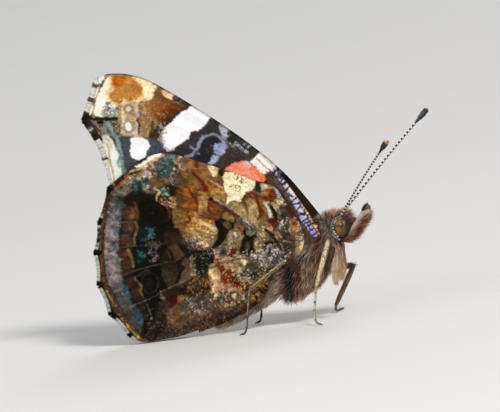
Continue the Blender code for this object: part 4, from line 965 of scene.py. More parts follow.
def scaled_material(name, grain, scale, variation, roughness, bump, sheen=0.0, specular=0.35, coat=0.0, attribute="scales"):
    """A finish whose colour comes from the piece's own attribute, broken up by a grain group."""
    made = bpy.data.materials.new(name)
    made.use_nodes = True
    t = Tree(made.node_tree)
    shader = made.node_tree.nodes["Principled BSDF"]
    colour = t.add("ShaderNodeAttribute", {"attribute_name": attribute})
    group = t.add("ShaderNodeGroup", {"node_tree": grain}, Scale=scale, Variation=variation, Colour=colour.outputs["Color"])
    t.put(shader, "Base Color", group.outputs["Colour"])
    spread = t.add("ShaderNodeMapRange", Value=group.outputs["Height"])
    spread.inputs["To Min"].default_value = min(1.0, roughness + 0.12)
    spread.inputs["To Max"].default_value = max(0.0, roughness - 0.1)
    t.put(shader, "Roughness", spread.outputs[0])
    relief = t.add("ShaderNodeBump", Strength=0.6, Distance=bump * MM, Height=group.outputs["Height"])
    t.put(shader, "Normal", relief.outputs[0])
    shader.inputs["Sheen Weight"].default_value = sheen
    shader.inputs["Sheen Roughness"].default_value = 0.4
    shader.inputs["Specular IOR Level"].default_value = specular
    shader.inputs["Coat Weight"].default_value = coat
    shader.inputs["Coat Roughness"].default_value = 0.08
    return made


def finish(name):
    """The material of that name, made once."""
    if name in bpy.data.materials:
        return bpy.data.materials[name]
    if "scale_grain" not in bpy.data.node_groups:
        scale_grain()
        hair_grain()
    scales, hairs = bpy.data.node_groups["scale_grain"], bpy.data.node_groups["hair_grain"]
    table = {
        "wing_scales": (scales, 9000.0, 0.36, 0.7, 0.02, 0.0, 0.08),
        "body_hair": (hairs, 14000.0, 0.35, 0.6, 0.004, 0.0, 0.22),
        "body_skin": (hairs, 9000.0, 0.5, 0.8, 0.02, 0.0, 0.15),
        "leg_scales": (scales, 12000.0, 0.35, 0.55, 0.012, 0.2, 0.4),
        "feeler_scales": (scales, 15000.0, 0.25, 0.5, 0.01, 0.1, 0.4),
        "horny_tongue": (hairs, 9000.0, 0.3, 0.35, 0.01, 0.0, 0.5),
        "eye_facets": (scales, 26000.0, 0.16, 0.46, 0.006, 0.05, 0.36, 0.08),
    }
    return scaled_material(name, *table[name])


# Vein lines on the chart. The membrane sinks a little between them.
FOREWING_VEINS = (
    ((322, 236), (300, 204), (276, 176), (258, 157), (238, 141), (212, 120), (190, 106), (160, 88), (133, 77)),
    ((318, 236), (290, 202), (262, 170), (236, 152), (210, 138), (192, 132), (163, 122), (140, 120), (118, 118.4), (88, 118)),
    ((262, 170), (236, 146), (206, 124), (187, 112.5), (176, 108), (160, 103.2), (138, 102.5), (110, 100), (94, 100)),
    ((206, 124), (188, 110), (162, 96), (130, 84), (104, 84)),
    ((236, 160), (206, 152), (182, 148), (163, 142), (146, 138), (120, 137.5), (100, 138)),
    ((262, 184), (226, 172), (196, 166), (160, 164), (128, 162), (108, 159)),
    ((288, 210), (240, 196), (190, 190), (140, 188), (110, 186)),
    ((300, 226), (240, 218), (180, 212), (120, 210)),
)
HINDWING_VEINS = (
    ((300, 244), (288, 214), (270, 190), (246, 177), (220, 168), (186, 158), (160, 156), (134, 170), (120, 182)),
    ((300, 246), (262, 232), (245, 221), (226, 205), (212, 198), (207, 191.4), (190, 188), (176, 184), (150, 180), (104, 192)),
    ((226, 205), (214, 219), (203, 213.4), (190, 209.2), (176, 206), (164, 202.5), (134, 223), (98, 222)),
    ((214, 219), (206, 227.4), (190, 229.4), (172, 227), (150, 236), (120, 236.5), (98, 238)),
    ((214, 219), (226, 240), (200, 253), (176, 243), (154, 245), (116, 248), (94, 253)),
    ((290, 252), (256, 256), (226, 250), (212, 254), (177, 260.5), (150, 267), (122, 276), (97, 285)),
    ((290, 252), (258, 256.6), (240, 258.6), (222, 263.6), (206, 271), (185, 283.5), (165, 292.5), (146, 301), (110, 316)),
    ((292, 254), (262, 268), (232, 284), (200, 304), (170, 320), (130, 337)),
    ((294, 256), (268, 276), (240, 298), (200, 322), (152, 345)),
)


def abdomen_half_width(along):
    return np.interp(along, STATIONS[:8, 0], STATIONS[:8, 1])


def forewing_side(x, z):
    reach = np.hypot(x - WING_HINGE[0], z - WING_HINGE[1]) / WING_SPREAD_LENGTH
    return WING_GAP_AT_TIP + (WING_GAP_AT_HINGE - WING_GAP_AT_TIP) * (1.0 - smooth_step(reach))


def hindwing_side(x, z):
    dx, dz = x - BODY_TIP[0], z - BODY_TIP[1]
    along = np.clip(dx * math.cos(BODY_PITCH) + dz * math.sin(BODY_PITCH), 0.0, 12.0)
    off = np.hypot(dx - along * math.cos(BODY_PITCH), dz - along * math.sin(BODY_PITCH))
    width = abdomen_half_width(along)
    clear = (width + ABDOMEN_CLEARANCE) * (1.0 - smooth_step((off - width) / 3.5))
    return np.maximum(forewing_side(x, z) + 0.6, clear)


def forewing_face(x, z):
    """Distance of the forewing's outer face from the middle plane."""
    return forewing_side(x, z) + 0.2


def hindwing_face(x, z):
    """The same for the hindwing, which lies close over the forewing."""
    return hindwing_side(x, z) - 0.2


def forewing_outline(step):
    lead = FOREWING_COSTA + FOREWING_TIP + FOREWING_MARGIN[:2]
    trail = FOREWING_MARGIN[1:] + FOREWING_DORSUM
    return np.vstack((sample(lead, step), sample(trail, step), [trail[-1]]))


def hindwing_outline(step):
    lead = HINDWING_COSTA + HINDWING_APEX + HINDWING_TEETH[:1]
    rows = [sample(lead, step)]
    for a, b in zip(HINDWING_TEETH, HINDWING_TEETH[1:]):
        length = math.dist(a, b)
        f = np.arange(max(4, round(length / step)))[:, None] / max(4, round(length / step))
        inward = np.array((b[1] - a[1], a[0] - b[0])) / length
        inward *= np.sign(inward[0])
        rows.append(np.array(a) + (np.array(b) - np.array(a)) * f + inward * SCALLOP_DEPTH * np.sin(np.pi * f) ** 0.8)
    rows.append(sample((HINDWING_TEETH[-1],) + HINDWING_FOOT, step))
    rows.append(sample(HINDWING_FOOT[1:] + HINDWING_DORSUM, step))
    return np.vstack(rows + [[HINDWING_DORSUM[-1]]])


def drawn_in(outline, depth, ease=0):
    """The outline moved inwards by a depth given for each of its points, after its corners are eased."""
    for _ in range(ease):
        outline = 0.5 * outline + 0.25 * (np.roll(outline, 1, 0) + np.roll(outline, -1, 0))
    ahead = unit(np.roll(outline, -1, 0) - np.roll(outline, 1, 0))
    inward = np.column_stack((-ahead[:, 1], ahead[:, 0]))
    area = np.sum(outline[:, 0] * np.roll(outline[:, 1], -1) - np.roll(outline[:, 0], -1) * outline[:, 1])
    return outline + inward * np.sign(area) * np.asarray(depth)[:, None]


def lattice_points(outline, step, margin):
    """Points of a staggered lattice inside the outline, no nearer to it than the margin."""
    low, high = outline.min(0), outline.max(0)
    rows = np.arange(int((high[1] - low[1]) / (step * 0.866)) + 1)
    columns = np.arange(int((high[0] - low[0]) / step) + 2)
    i, j = np.meshgrid(columns, rows)
    x, z = low[0] + (i - 0.5 * (j % 2)) * step, low[1] + j * step * 0.866
    x, z = x.ravel(), z.ravel()
    coarse = outline[:: max(1, int(0.3 / np.linalg.norm(outline[1] - outline[0])))]
    keep = outline_distance(x, z, coarse) > margin - 0.2
    x, z = x[keep], z[keep]
    keep = outline_distance(x, z, outline) > margin
    return np.column_stack((x[keep], z[keep]))


def net(rim, inner):
    """Triangles over the rim and the inner points, which keep their order."""
    points = np.vstack((rim, inner))
    edges = [(k, (k + 1) % len(rim)) for k in range(len(rim))]
    flat, _, faces, origins, *_ = delaunay_2d_cdt([Vector(p) for p in points.tolist()], edges, [], 2, 1e-6)
    index = np.array([origin[0] if origin else -1 for origin in origins])
    faces = index[np.array(faces)]
    faces = faces[faces.min(1) >= 0]
    middle = points[faces].mean(1)
    return points, faces[outline_distance(middle[:, 0], middle[:, 1], rim) > 0]


def vein_relief(u, v, veins):
    """Height in mm that the veins stand out by, and the sag of the membrane between them."""
    away = np.full(len(u), 1e9)
    for run in veins:
        away = np.minimum(away, line_distance(u, v, rounded(run, False)))
    away *= CHART_STEP
    return 0.05 * np.exp(-((away / 0.09) ** 2)), 0.11 * smooth_step(away / 1.1)


def softened(rgb, faces, amount, rounds=1):
    """Colours drawn towards the mean of their neighbours on the net."""
    ends = np.concatenate((faces[:, :2], faces[:, 1:], faces[:, ::2]))
    ends = np.concatenate((ends, ends[:, ::-1]))
    for _ in range(rounds):
        mean = np.column_stack([np.bincount(ends[:, 0], rgb[ends[:, 1], k], len(rgb)) for k in range(3)])
        mean /= np.maximum(np.bincount(ends[:, 0], minlength=len(rgb)), 1)[:, None]
        rgb = rgb + amount * (mean - rgb)
    return rgb


def wing_data(kind, settings):
    """Net, faces, colours and map of one kind of wing, ready for either side."""
    fore = kind == "forewing"
    outline = (forewing_outline if fore else hindwing_outline)(settings.rim_step)
    face_at = forewing_face if fore else hindwing_face
    rim = drawn_in(outline, 0.05 + 0.2 * fringe_share(kind, outline), 8)
    under, under_faces = net(rim, lattice_points(rim, settings.net_step * (1.0 if fore else 1.04), 0.05))
    upper, upper_faces = net(rim, lattice_points(rim, settings.upper_step, 0.1))
    count = len(under)
    x = np.concatenate((under[:, 0], upper[:, 0]))
    z = np.concatenate((under[:, 1], upper[:, 1]))
    face = face_at(x, z)
    u, v = to_chart(np.column_stack((x, -face, z)))
    if fore:
        near_lead = 1.0 - smooth_step(line_distance(x, z, sample(FOREWING_COSTA, 0.2)) / 0.45)
        u, v = u - 1.0 * near_lead, v + 1.7 * near_lead
    ridge, sag = vein_relief(u, v, FOREWING_VEINS if fore else HINDWING_VEINS)
    edge = smooth_step(outline_distance(x, z, rim[::2]) / 0.5)
    face = face - sag * edge
    outside = face + ridge * edge
    inside = face - 0.03 - (settings.wing_thickness - 0.03) * edge - ridge * edge * 0.5
    y = np.where(np.arange(len(x)) < count, outside, inside)
    seed = 3 if fore else 5
    below = Chart(u[:count], v[:count], seed)
    (forewing_under if fore else hindwing_under)(below)
    above = Chart(u[count:], v[count:], seed + 20)
    (forewing_upper if fore else hindwing_upper)(above)
    edged = Chart(u[count:], v[count:], seed)
    (forewing_under if fore else hindwing_under)(edged)
    rim_match = smooth_step((0.9 - outline_distance(x[count:], z[count:], rim[::2])) / 0.5)
    rim_match *= smooth_step((280 - u[count:]) / 6.0) if fore else 1.0
    above.rgb += (edged.rgb - above.rgb) * rim_match[:, None]
    ring = np.arange(len(rim))
    after = np.roll(ring, -1)
    band = np.vstack((np.column_stack((ring, after, after + count)), np.column_stack((ring, after + count, ring + count))))
    faces = np.vstack((under_faces, upper_faces[:, ::-1] + count, band))
    low, size = rim.min(0), np.ptp(rim, axis=0).max() * 2.1
    uv = np.column_stack((x - low[0], z - low[1])) / size
    uv[count:, 0] += 0.5
    rgb = np.vstack((softened(below.rgb, under_faces, 0.3), above.rgb))
    return np.column_stack((x, y, z)), faces, rgb, uv


def oriented(points, faces):
    """The faces, turned over if they enclose a negative volume."""
    a, b, c = (points[faces[:, k]] for k in range(3))
    return faces if np.einsum("ij,ij->", a, np.cross(b, c)) > 0 else faces[:, ::-1]


def forewing_upper(c):
    """The upper side: black, with a scarlet band across it and white spots towards the tip."""
    c.fill((26, 22, 22), 0.2)
    c.patch((60, 42, 30), [(322, 236), (300, 200), (260, 176), (240, 186), (260, 214), (300, 236)], 8.0, 0.8)
    c.patch((206, 62, 26), [(190, 108), (206, 118), (222, 160), (200, 186), (166, 204), (150, 200), (180, 176), (190, 150), (184, 124)], 2.5)
    c.patch(WHITE, [(162, 98), (178, 104), (172, 122), (160, 132), (154, 116)], 1.8)
    for centre, size in (((136, 96), (4.0, 3.0)), ((128.6, 109), (3.0, 3.0)), ((128.2, 126.6), (3.6, 4.4)), ((134, 148), (6.0, 7.0))):
        c.blob(WHITE, centre, size, 0, 1.6)
    c.line((60, 80, 120), [(108, 84), (98, 104), (100, 128)], 2.0, 2.5, 0.6)


def hindwing_upper(c):
    """The upper side: dark brown, with a scarlet border that carries black dots."""
    c.fill((44, 32, 26), 0.2)
    c.patch((74, 54, 40), [(300, 244), (262, 196), (230, 200), (220, 240), (250, 270), (290, 262)], 10.0, 0.8)
    c.line((206, 62, 26), [(112, 196), (106, 226), (106, 256), (112, 290), (130, 322), (152, 336)], (14.0, 18.0, 14.0), 2.5)
    for spot in ((110, 210), (107, 230), (106, 250), (109, 272), (116, 296), (128, 318)):
        c.blob(SOOT, spot, 2.6, 0, 1.4)
    c.blob((60, 90, 150), (150, 330), (7.0, 4.0), 20, 2.5)
    c.line((200, 190, 180), [(102, 196), (96, 240), (98, 284), (112, 316), (134, 340)], 3.0, 1.4)


def make_wings(kind, settings):
    points, faces, rgb, uv = wing_data(kind, settings)
    for name, side in SIDES:
        own = points * (1.0, side, 1.0)
        mesh = fill_mesh(kind + "_skin_" + name, own, oriented(own, faces))
        shade_smooth(mesh)
        set_colours(mesh, rgb)
        set_map(mesh, uv)
        settle(link(mesh.name, mesh), finish("wing_scales"), nodes=(kind + "_" + name,), slot=kind)


def ring_faces(rings, sides):
    """Triangles over rings of points, closed at both ends by a fan round a last point."""
    k = np.arange(sides)
    after = np.roll(k, -1)
    low = np.arange(rings - 1)[:, None] * sides
    a, b = (low + k).ravel(), (low + after).ravel()
    last = (rings - 1) * sides
    count = rings * sides
    return np.vstack((
        np.column_stack((a, b, b + sides)),
        np.column_stack((a, b + sides, a + sides)),
        np.column_stack((after, k, np.full(sides, count))),
        np.column_stack((k + last, after + last, np.full(sides, count + 1))),
    ))


def tube_frame(path, radii, t, angle, squash=1.0):
    """Points on a tube, with their outward and forward directions; t runs from 0 to 1 and angle 0 faces +Y."""
    path = np.asarray(path, float)
    last = len(path) - 1
    ahead = unit(spline_rows(path, np.clip(t + 0.01, 0, 1) * last) - spline_rows(path, np.clip(t - 0.01, 0, 1) * last))
    side = unit(np.array((0.0, 1.0, 0.0)) - ahead * ahead[:, 1:2])
    radial = side * np.cos(angle)[:, None] + np.cross(ahead, side) * (np.sin(angle) * squash)[:, None]
    radius = np.interp(t, np.linspace(0, 1, len(radii)), radii)
    return spline_rows(path, t * last) + radial * radius[:, None], unit(radial), ahead


def tube(path, radii, rings, sides, paint, map_row=(0.0, 1.0), squash=1.0):
    """Points, faces, colours and map of a closed tube; paint gives display colours from (t, angle, points)."""
    t, angle = np.meshgrid(np.linspace(0, 1, rings), np.arange(sides) * 2 * np.pi / sides, indexing="ij")
    t, angle = t.ravel(), angle.ravel()
    points, _, _ = tube_frame(path, radii, t, angle, squash)
    points = np.vstack((points, points[:sides].mean(0), points[-sides:].mean(0)))
    t, angle = np.append(t, (0.0, 1.0)), np.append(angle, (0.0, 0.0))
    uv = np.column_stack((0.01 + 0.97 * t, map_row[0] + 0.96 * (map_row[1] - map_row[0]) * angle / (2 * np.pi)))
    return points, ring_faces(rings, sides), np.clip(paint(t, angle, points), 0, 1), uv


def joined(*parts):
    """One set of points, faces, colours and map from several."""
    faces, count = [], 0
    for part in parts:
        faces.append(part[1] + count)
        count += len(part[0])
    return np.vstack([part[0] for part in parts]), np.vstack(faces), np.vstack([part[2] for part in parts]), np.vstack([part[3] for part in parts])


def solid(name, parts, finish_name, side=1, nodes=(), slot=None, wrap=0.96):
    """One piece from closed shells; side -1 puts it on the right side of the body."""
    shells = []
    for points, faces, rgb, uv in parts:
        points = points * (1.0, side, 1.0)
        shells.append((points, oriented(points, faces), rgb, uv))
    points, faces, rgb, uv = joined(*shells)
    mesh = fill_mesh(name, points, faces)
    shade_smooth(mesh)
    set_colours(mesh, rgb)
    set_map(mesh, uv, wrap / len(parts))
    return settle(link(name, mesh), finish(finish_name), nodes=nodes, slot=slot)


def blend(a, b, amount):
    """Display colours between a and b, which are 0 to 255 tuples or rows of 0 to 1."""
    a, b = (np.array(c, float) / 255.0 if isinstance(c, tuple) else c for c in (a, b))
    return a + (b - a) * np.asarray(amount)[:, None]


def tuft_tree():
    """Geometry Nodes that set a curved three-sided spike on each guide point and make it real mesh."""
    tree = bpy.data.node_groups.new("lay_tufts", "GeometryNodeTree")
    for name, kind in (("Geometry", "NodeSocketGeometry"), ("Width", "NodeSocketFloat"), ("Thickness", "NodeSocketFloat"), ("Bend", "NodeSocketFloat"), ("Material", "NodeSocketMaterial")):
        tree.interface.new_socket(name, in_out="INPUT", socket_type=kind)
    tree.interface.new_socket("Geometry", in_out="OUTPUT", socket_type="NodeSocketGeometry")
    t = Tree(tree)
    start, end = t.add("NodeGroupInput"), t.add("NodeGroupOutput")
    spike = t.add("GeometryNodeMeshCone", {"fill_type": "NGON"})
    for key, value in (("Vertices", 3), ("Side Segments", 2), ("Radius Top", 0.16), ("Radius Bottom", 0.5), ("Depth", 1.0)):
        spike.inputs[key].default_value = value
    spot = t.add("ShaderNodeSeparateXYZ", Vector=t.add("GeometryNodeInputPosition"))
    swell = t.math("ADD", 0.55, t.math("MULTIPLY", 2.2, t.math("MULTIPLY", spot.outputs[2], t.math("SUBTRACT", 1.05, spot.outputs[2]))))
    curl = t.math("MULTIPLY", t.math("MULTIPLY", spot.outputs[2], spot.outputs[2]), start.outputs["Bend"])
    x = t.math("ADD", t.math("MULTIPLY", t.math("MULTIPLY", spot.outputs[0], start.outputs["Thickness"]), swell), curl)
    y = t.math("MULTIPLY", t.math("MULTIPLY", spot.outputs[1], start.outputs["Width"]), swell)
    place = t.add("ShaderNodeCombineXYZ", X=x, Y=y, Z=spot.outputs[2])
    kept = t.add("GeometryNodeStoreNamedAttribute", {"data_type": "FLOAT_VECTOR", "domain": "POINT"}, Geometry=spike.outputs["Mesh"], Name="spot")
    t.put(kept, "Value", t.add("GeometryNodeInputPosition"))
    shaped = t.add("GeometryNodeSetPosition", Geometry=kept, Position=place)
    turn = t.add("GeometryNodeInputNamedAttribute", {"data_type": "FLOAT_VECTOR"}, Name="turn")
    length = t.add("GeometryNodeInputNamedAttribute", {"data_type": "FLOAT"}, Name="length")
    placed = t.add("GeometryNodeInstanceOnPoints", Points=start.outputs["Geometry"], Instance=shaped, Scale=length)
    t.put(placed, "Rotation", t.add("FunctionNodeEulerToRotation", Euler=turn))
    real = t.add("GeometryNodeRealizeInstances", Geometry=placed)
    clad = t.add("GeometryNodeSetMaterial", Geometry=real, Material=start.outputs["Material"])
    t.put(end, "Geometry", clad)
    return tree


def tuft_turns(ahead, out):
    """Euler angles that point a spike's Z along ahead and its X away from the skin."""
    z = unit(ahead)
    x = unit(out - z * np.sum(out * z, 1, keepdims=True))
    y = np.cross(z, x)
    return np.column_stack((np.arctan2(y[:, 2], z[:, 2]), -np.arcsin(np.clip(x[:, 2], -1, 1)), np.arctan2(x[:, 1], x[:, 0])))


def grow(name, roots, ahead, out, length, root_rgb, tip_rgb, uv, finish_name, width=0.05, thickness=0.03, bend=-0.12, slot=None):
    """Lays a tuft at each root and returns the joined piece, coloured from root to tip."""
    guide = bpy.data.meshes.new(name + "_guide")
    guide.vertices.add(len(roots))
    guide.vertices.foreach_set("co", (roots * MM).astype(np.float32).ravel())
    for key, kind, values in (("turn", "FLOAT_VECTOR", tuft_turns(ahead, out)), ("length", "FLOAT", length * MM), ("tuft", "INT", np.arange(len(roots)))):
        layer = guide.attributes.new(key, kind, "POINT")
        values = np.asarray(values, np.int32 if kind == "INT" else np.float32)
        layer.data.foreach_set("vector" if kind == "FLOAT_VECTOR" else "value", values.ravel())
    holder = link(name + "_guide", guide)
    tree = bpy.data.node_groups.get("lay_tufts") or tuft_tree()
    modifier = holder.modifiers.new("tufts", "NODES")
    modifier.node_group = tree
    values = {"Width": width, "Thickness": thickness, "Bend": bend, "Material": finish(finish_name)}
    for item in tree.interface.items_tree:
        if item.in_out == "INPUT" and item.name in values:
            modifier[item.identifier] = values[item.name]
    graph = bpy.context.evaluated_depsgraph_get()
    mesh = bpy.data.meshes.new_from_object(holder.evaluated_get(graph))
    bpy.data.objects.remove(holder)
    mesh.name = name
    tuft = np.empty(len(mesh.vertices), np.int32)
    mesh.attributes["tuft"].data.foreach_get("value", tuft)
    spot = np.empty(len(mesh.vertices) * 3, np.float32)
    mesh.attributes["spot"].data.foreach_get("vector", spot)
    spot = spot.reshape(-1, 3)
    for key in ("tuft", "spot", "turn", "length"):
        if key in mesh.attributes:
            mesh.attributes.remove(mesh.attributes[key])
    height = smooth_step(spot[:, 2] * 1.15)[:, None]
    set_colours(mesh, root_rgb[tuft] * (1 - height) + tip_rgb[tuft] * height)
    set_map(mesh, uv[tuft] + 0.003 * np.column_stack((spot[:, 0] + 0.5 * spot[:, 2], spot[:, 1])))
    shade_smooth(mesh)
    piece = link(name, mesh)
    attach(piece, "root")
    return piece


def body_point(along, side, up):
    c, s = math.cos(BODY_PITCH), math.sin(BODY_PITCH)
    return np.stack((BODY_TIP[0] + along * c - up * s, side + 0.0 * along, BODY_TIP[1] + along * s + up * c), -1)


def body_surface(along, angle, grow):
    """Points on the body; angle 0 is the left side and a quarter turn is the back."""
    rows = spline_rows(STATIONS, np.interp(along, STATIONS[:, 0], np.arange(len(STATIONS))))
    chest = smooth_step((along - 10.0) / 0.8) * smooth_step((17.4 - along) / 0.8)
    square = 2.0 + 0.4 * chest
    c, s = np.cos(angle), np.sin(angle)
    reach = (np.abs(c) ** square + np.abs(s) ** square) ** (-1.0 / square)
    side = np.maximum(rows[:, 1] + grow, 0.06) * c * reach
    up = np.maximum(rows[:, 2] + grow, 0.06) * s * reach - rows[:, 3]
    return body_point(rows[:, 0] + rows[:, 4] * up, side, up)


def body_map(along, angle):
    """Place on the unrolled skin."""
    return np.column_stack((0.02 + along / 22.0, 0.01 + 0.96 * (angle % (2 * np.pi)) / (2 * np.pi)))


def coat_depth(along):
    return np.interp(along, (0, 1.5, 9.5, 11.0, 16.4, 17.4, 19.6, 20.15), (0.12, 0.25, 0.35, 0.5, 0.5, 0.36, 0.26, 0.2))


def body_frame(along, angle, grow):
    """Point, outward normal and the two surface directions: forwards and round the body."""
    p = body_surface(along, angle, grow)
    forward = unit(body_surface(along + 0.02, angle, grow) - body_surface(along - 0.02, angle, grow))
    around = unit(body_surface(along, angle + 0.02, grow) - body_surface(along, angle - 0.02, grow))
    return p, unit(np.cross(around, forward)), forward, around


def body_marks(c):
    """Colours of the head, thorax and abdomen fur on the chart."""
    c.fill((86, 56, 42), 0.3)
    # abdomen: maroon-brown with silvery strands
    c.patch((214, 164, 130), [(170, 345), (262, 262), (290, 255), (292, 305), (230, 345)], 6.0, 0.9)
    c.flecks((240, 212, 186), [(180, 345), (262, 262), (290, 255), (292, 305), (230, 345)], 0.3, 1.0, amount=0.8)
    c.flecks((56, 38, 30), [(180, 345), (262, 262), (290, 255), (292, 305), (230, 345)], 0.24, 1.0, amount=0.8, seed=7)
    # thorax: silver-grey above, rusty with silver tips below
    c.patch((138, 86, 58), [(290, 258), (304, 252), (325, 254), (326, 306), (286, 306)], 5.0)
    c.flecks((60, 30, 22), [(294, 262), (322, 258), (324, 300), (292, 302)], 0.3, 0.9, amount=0.8, seed=6)
    c.flecks((216, 180, 154), [(292, 262), (322, 262), (324, 300), (292, 302)], 0.34, 0.9, amount=0.8, seed=1)
    c.patch((128, 108, 92), [(298, 242), (310, 240), (314, 248), (312, 262), (304, 266), (296, 254)], 5.0, 0.9)
    c.patch((132, 86, 60), [(312, 240), (324, 240), (326, 262), (314, 264)], 4.0, 0.85)
    c.flecks((206, 196, 188), [(298, 244), (312, 240), (314, 258), (302, 264)], 0.4, 1.0, amount=0.85, seed=2)
    c.flecks((58, 42, 34), [(298, 244), (322, 238), (326, 262), (302, 268)], 0.34, 1.0, amount=0.8, seed=8)
    c.patch((176, 94, 44), [(286, 294), (326, 292), (326, 308), (286, 308)], 5.0, 0.7)
    c.patch((128, 68, 38), [(318, 258), (331, 258), (330, 292), (316, 302)], 4.0, 0.8)
    # painted shade: a dark strip on the side of the thorax behind the mid leg
    c.patch((72, 46, 34), [(325, 240), (332, 240), (333, 262), (330, 286), (323, 286)], 3.0, 0.85)
    c.patch((212, 164, 110), [(296, 252), (300, 243), (304, 240), (303, 248), (299, 254)], 2.0, 0.8)
    # groove between abdomen and thorax: a rust-brown line and a near-black band of painted shade
    c.line((96, 34, 20), [(298, 258), (298.6, 272), (296, 290)], (4.4, 5.0), 2.4, 0.9)
    c.line((18, 15, 14), [(291.6, 254), (292, 272), (290, 300)], (7.0, 8.0), 2.4)
    # patagia and collar
    c.patch((158, 110, 84), [(318, 208), (336, 208), (338, 226), (326, 232), (320, 222)], 3.0)
    c.flecks((186, 152, 124), [(318, 208), (338, 208), (338, 222), (322, 222)], 0.4, 1.5, seed=3)
    c.patch((134, 92, 80), [(324, 222), (332, 222), (334, 242), (326, 244)], 2.5)
    c.line((176, 166, 168), [(319.5, 215), (323, 222), (329, 231), (334, 240)], (3.0, 3.4, 2.6), 2.0)
    c.line((36, 30, 30), [(324, 217), (329, 226), (334, 233)], (1.6, 1.8), 1.6, 0.9)
    c.line((170, 158, 160), [(326, 217), (331, 224), (333.5, 234)], (1.8, 2.0), 1.8, 0.8)
    c.patch((96, 70, 54), [(328, 240), (340, 238), (344, 262), (334, 266), (328, 256)], 3.0, 0.9)
    # head: maroon crest, grey-brown cheeks, pale line below the eye
    c.patch((110, 62, 52), [(336, 216), (344, 208), (356, 214), (356, 228), (346, 226), (338, 222)], 3.0)
    c.flecks((196, 148, 134), [(338, 208), (356, 210), (356, 226), (342, 224)], 0.3, 1.4, seed=4)
    c.patch((100, 74, 58), [(334, 234), (350, 226), (358, 232), (350, 248), (338, 246)], 3.0)
    c.line((226, 200, 164), [(335, 235), (338, 243), (341, 251)], (1.8, 2.2), 1.6, 0.9)
    c.patch((150, 108, 76), [(338, 246), (350, 244), (352, 262), (346, 276), (338, 268)], 3.0, 0.85)


def tint_by_back(rgb, points, along):
    """Darkens the back of the body to the olive-brown of the species."""
    axis = BODY_TIP[1] + (points[:, 0] - BODY_TIP[0]) * math.tan(BODY_PITCH)
    back = smooth_step((points[:, 2] - axis - 0.9) / 1.6) * smooth_step((15.4 - along) / 1.0)
    back *= smooth_step((1.9 - np.abs(points[:, 1])) / 0.8)
    return rgb + (np.array((52, 42, 30)) / 255.0 - rgb) * (0.85 * back)[:, None]


def make_skin(settings):
    """One closed skin for head, thorax and abdomen, inside the coat."""
    along = np.concatenate((np.linspace(0.0, 10.0, 60, endpoint=False), np.linspace(10.0, BODY_LENGTH, 90)))
    sides = 64
    a, angle = np.meshgrid(along, np.arange(sides) * 2 * np.pi / sides, indexing="ij")
    a, angle = a.ravel(), angle.ravel()
    points = body_surface(a, angle, -coat_depth(a))
    points = np.vstack((points, points[:sides].mean(0), points[-sides:].mean(0)))
    a = np.concatenate((a, [0.0, BODY_LENGTH]))
    angle = np.concatenate((angle, [0.0, 0.0]))
    mesh = fill_mesh("body_skin", points, oriented(points, ring_faces(len(along), sides)))
    shade_smooth(mesh)
    chart = Chart(*to_chart(points), 11)
    body_marks(chart)
    set_colours(mesh, tint_by_back(chart.rgb, points, a) * 0.6)
    set_map(mesh, body_map(a, angle), 0.96)
    settle(link(mesh.name, mesh), finish("body_skin"), nodes=("head", "thorax", "abdomen"), slot="body_fur")


def scatter(count, low, high, rng):
    """Even but irregular places on the body between two distances along it."""
    grid = int(math.sqrt(count * 6)) + 1
    along = low + (high - low) * (np.arange(count) + rng.random(count)) / count
    turn = (np.arange(count) * 0.61803399 + 0.15 * rng.random(count) + grid * 0.0) % 1.0
    return along, turn * 2 * np.pi


def coat_colours(points, along, seed, rng, lift=0.55):
    """Root and tip colours of tufts at these points."""
    chart = Chart(*to_chart(points), seed)
    body_marks(chart)
    rgb = tint_by_back(chart.rgb, points, along)
    jitter = 1.0 + 0.9 * (rng.random(len(points)) - 0.5)[:, None]
    tips = rgb + (np.array((240, 208, 182)) / 255.0 - rgb) * (1.6 * lift * rng.random(len(points)) ** 3)[:, None]
    return np.clip(rgb * 0.55 * jitter, 0, 1), np.clip(tips * 1.3 * jitter, 0, 1)


def body_fur(name, count, low, high, settings, seed, slot, lie, keep=None):
    """Fur between two distances along the body; lie gives length, backward, downward and outward lean."""
    rng = np.random.default_rng(seed)
    along, angle = scatter(count, low, high, rng)
    roots, out, forward, around = body_frame(along, angle, -coat_depth(along))
    if keep is not None:
        kept = keep(roots, along, angle)
        along, angle, roots, out, forward, around = (item[kept] for item in (along, angle, roots, out, forward, around))
    down = np.zeros_like(roots) - (0, 0, 1.0)
    down = unit(down - out * np.sum(down * out, 1, keepdims=True) + 1e-6)
    length, back, fall, lift = lie(along, angle, roots)
    wave_u = noise(roots[:, 0] + 50, roots[:, 2] + 50, 0.5, seed) - 0.5
    wave_v = noise(roots[:, 0] + 90, roots[:, 2] + 20, 0.45, seed + 5) - 0.5
    ahead = unit(
        -forward * back[:, None] + down * (fall + 1.1 * wave_u)[:, None] + out * (lift + 0.7 * wave_v)[:, None]
        + 0.62 * (rng.random((len(roots), 3)) - 0.5)
    )
    root_rgb, tip_rgb = coat_colours(roots, along, seed, rng)
    uv = body_map(along, angle)
    length = length * (0.6 + 0.8 * rng.random(len(roots)) ** 1.4) * settings.coat_length
    return grow(name, roots, ahead, out, length, root_rgb, tip_rgb, uv, "body_hair", slot=slot)


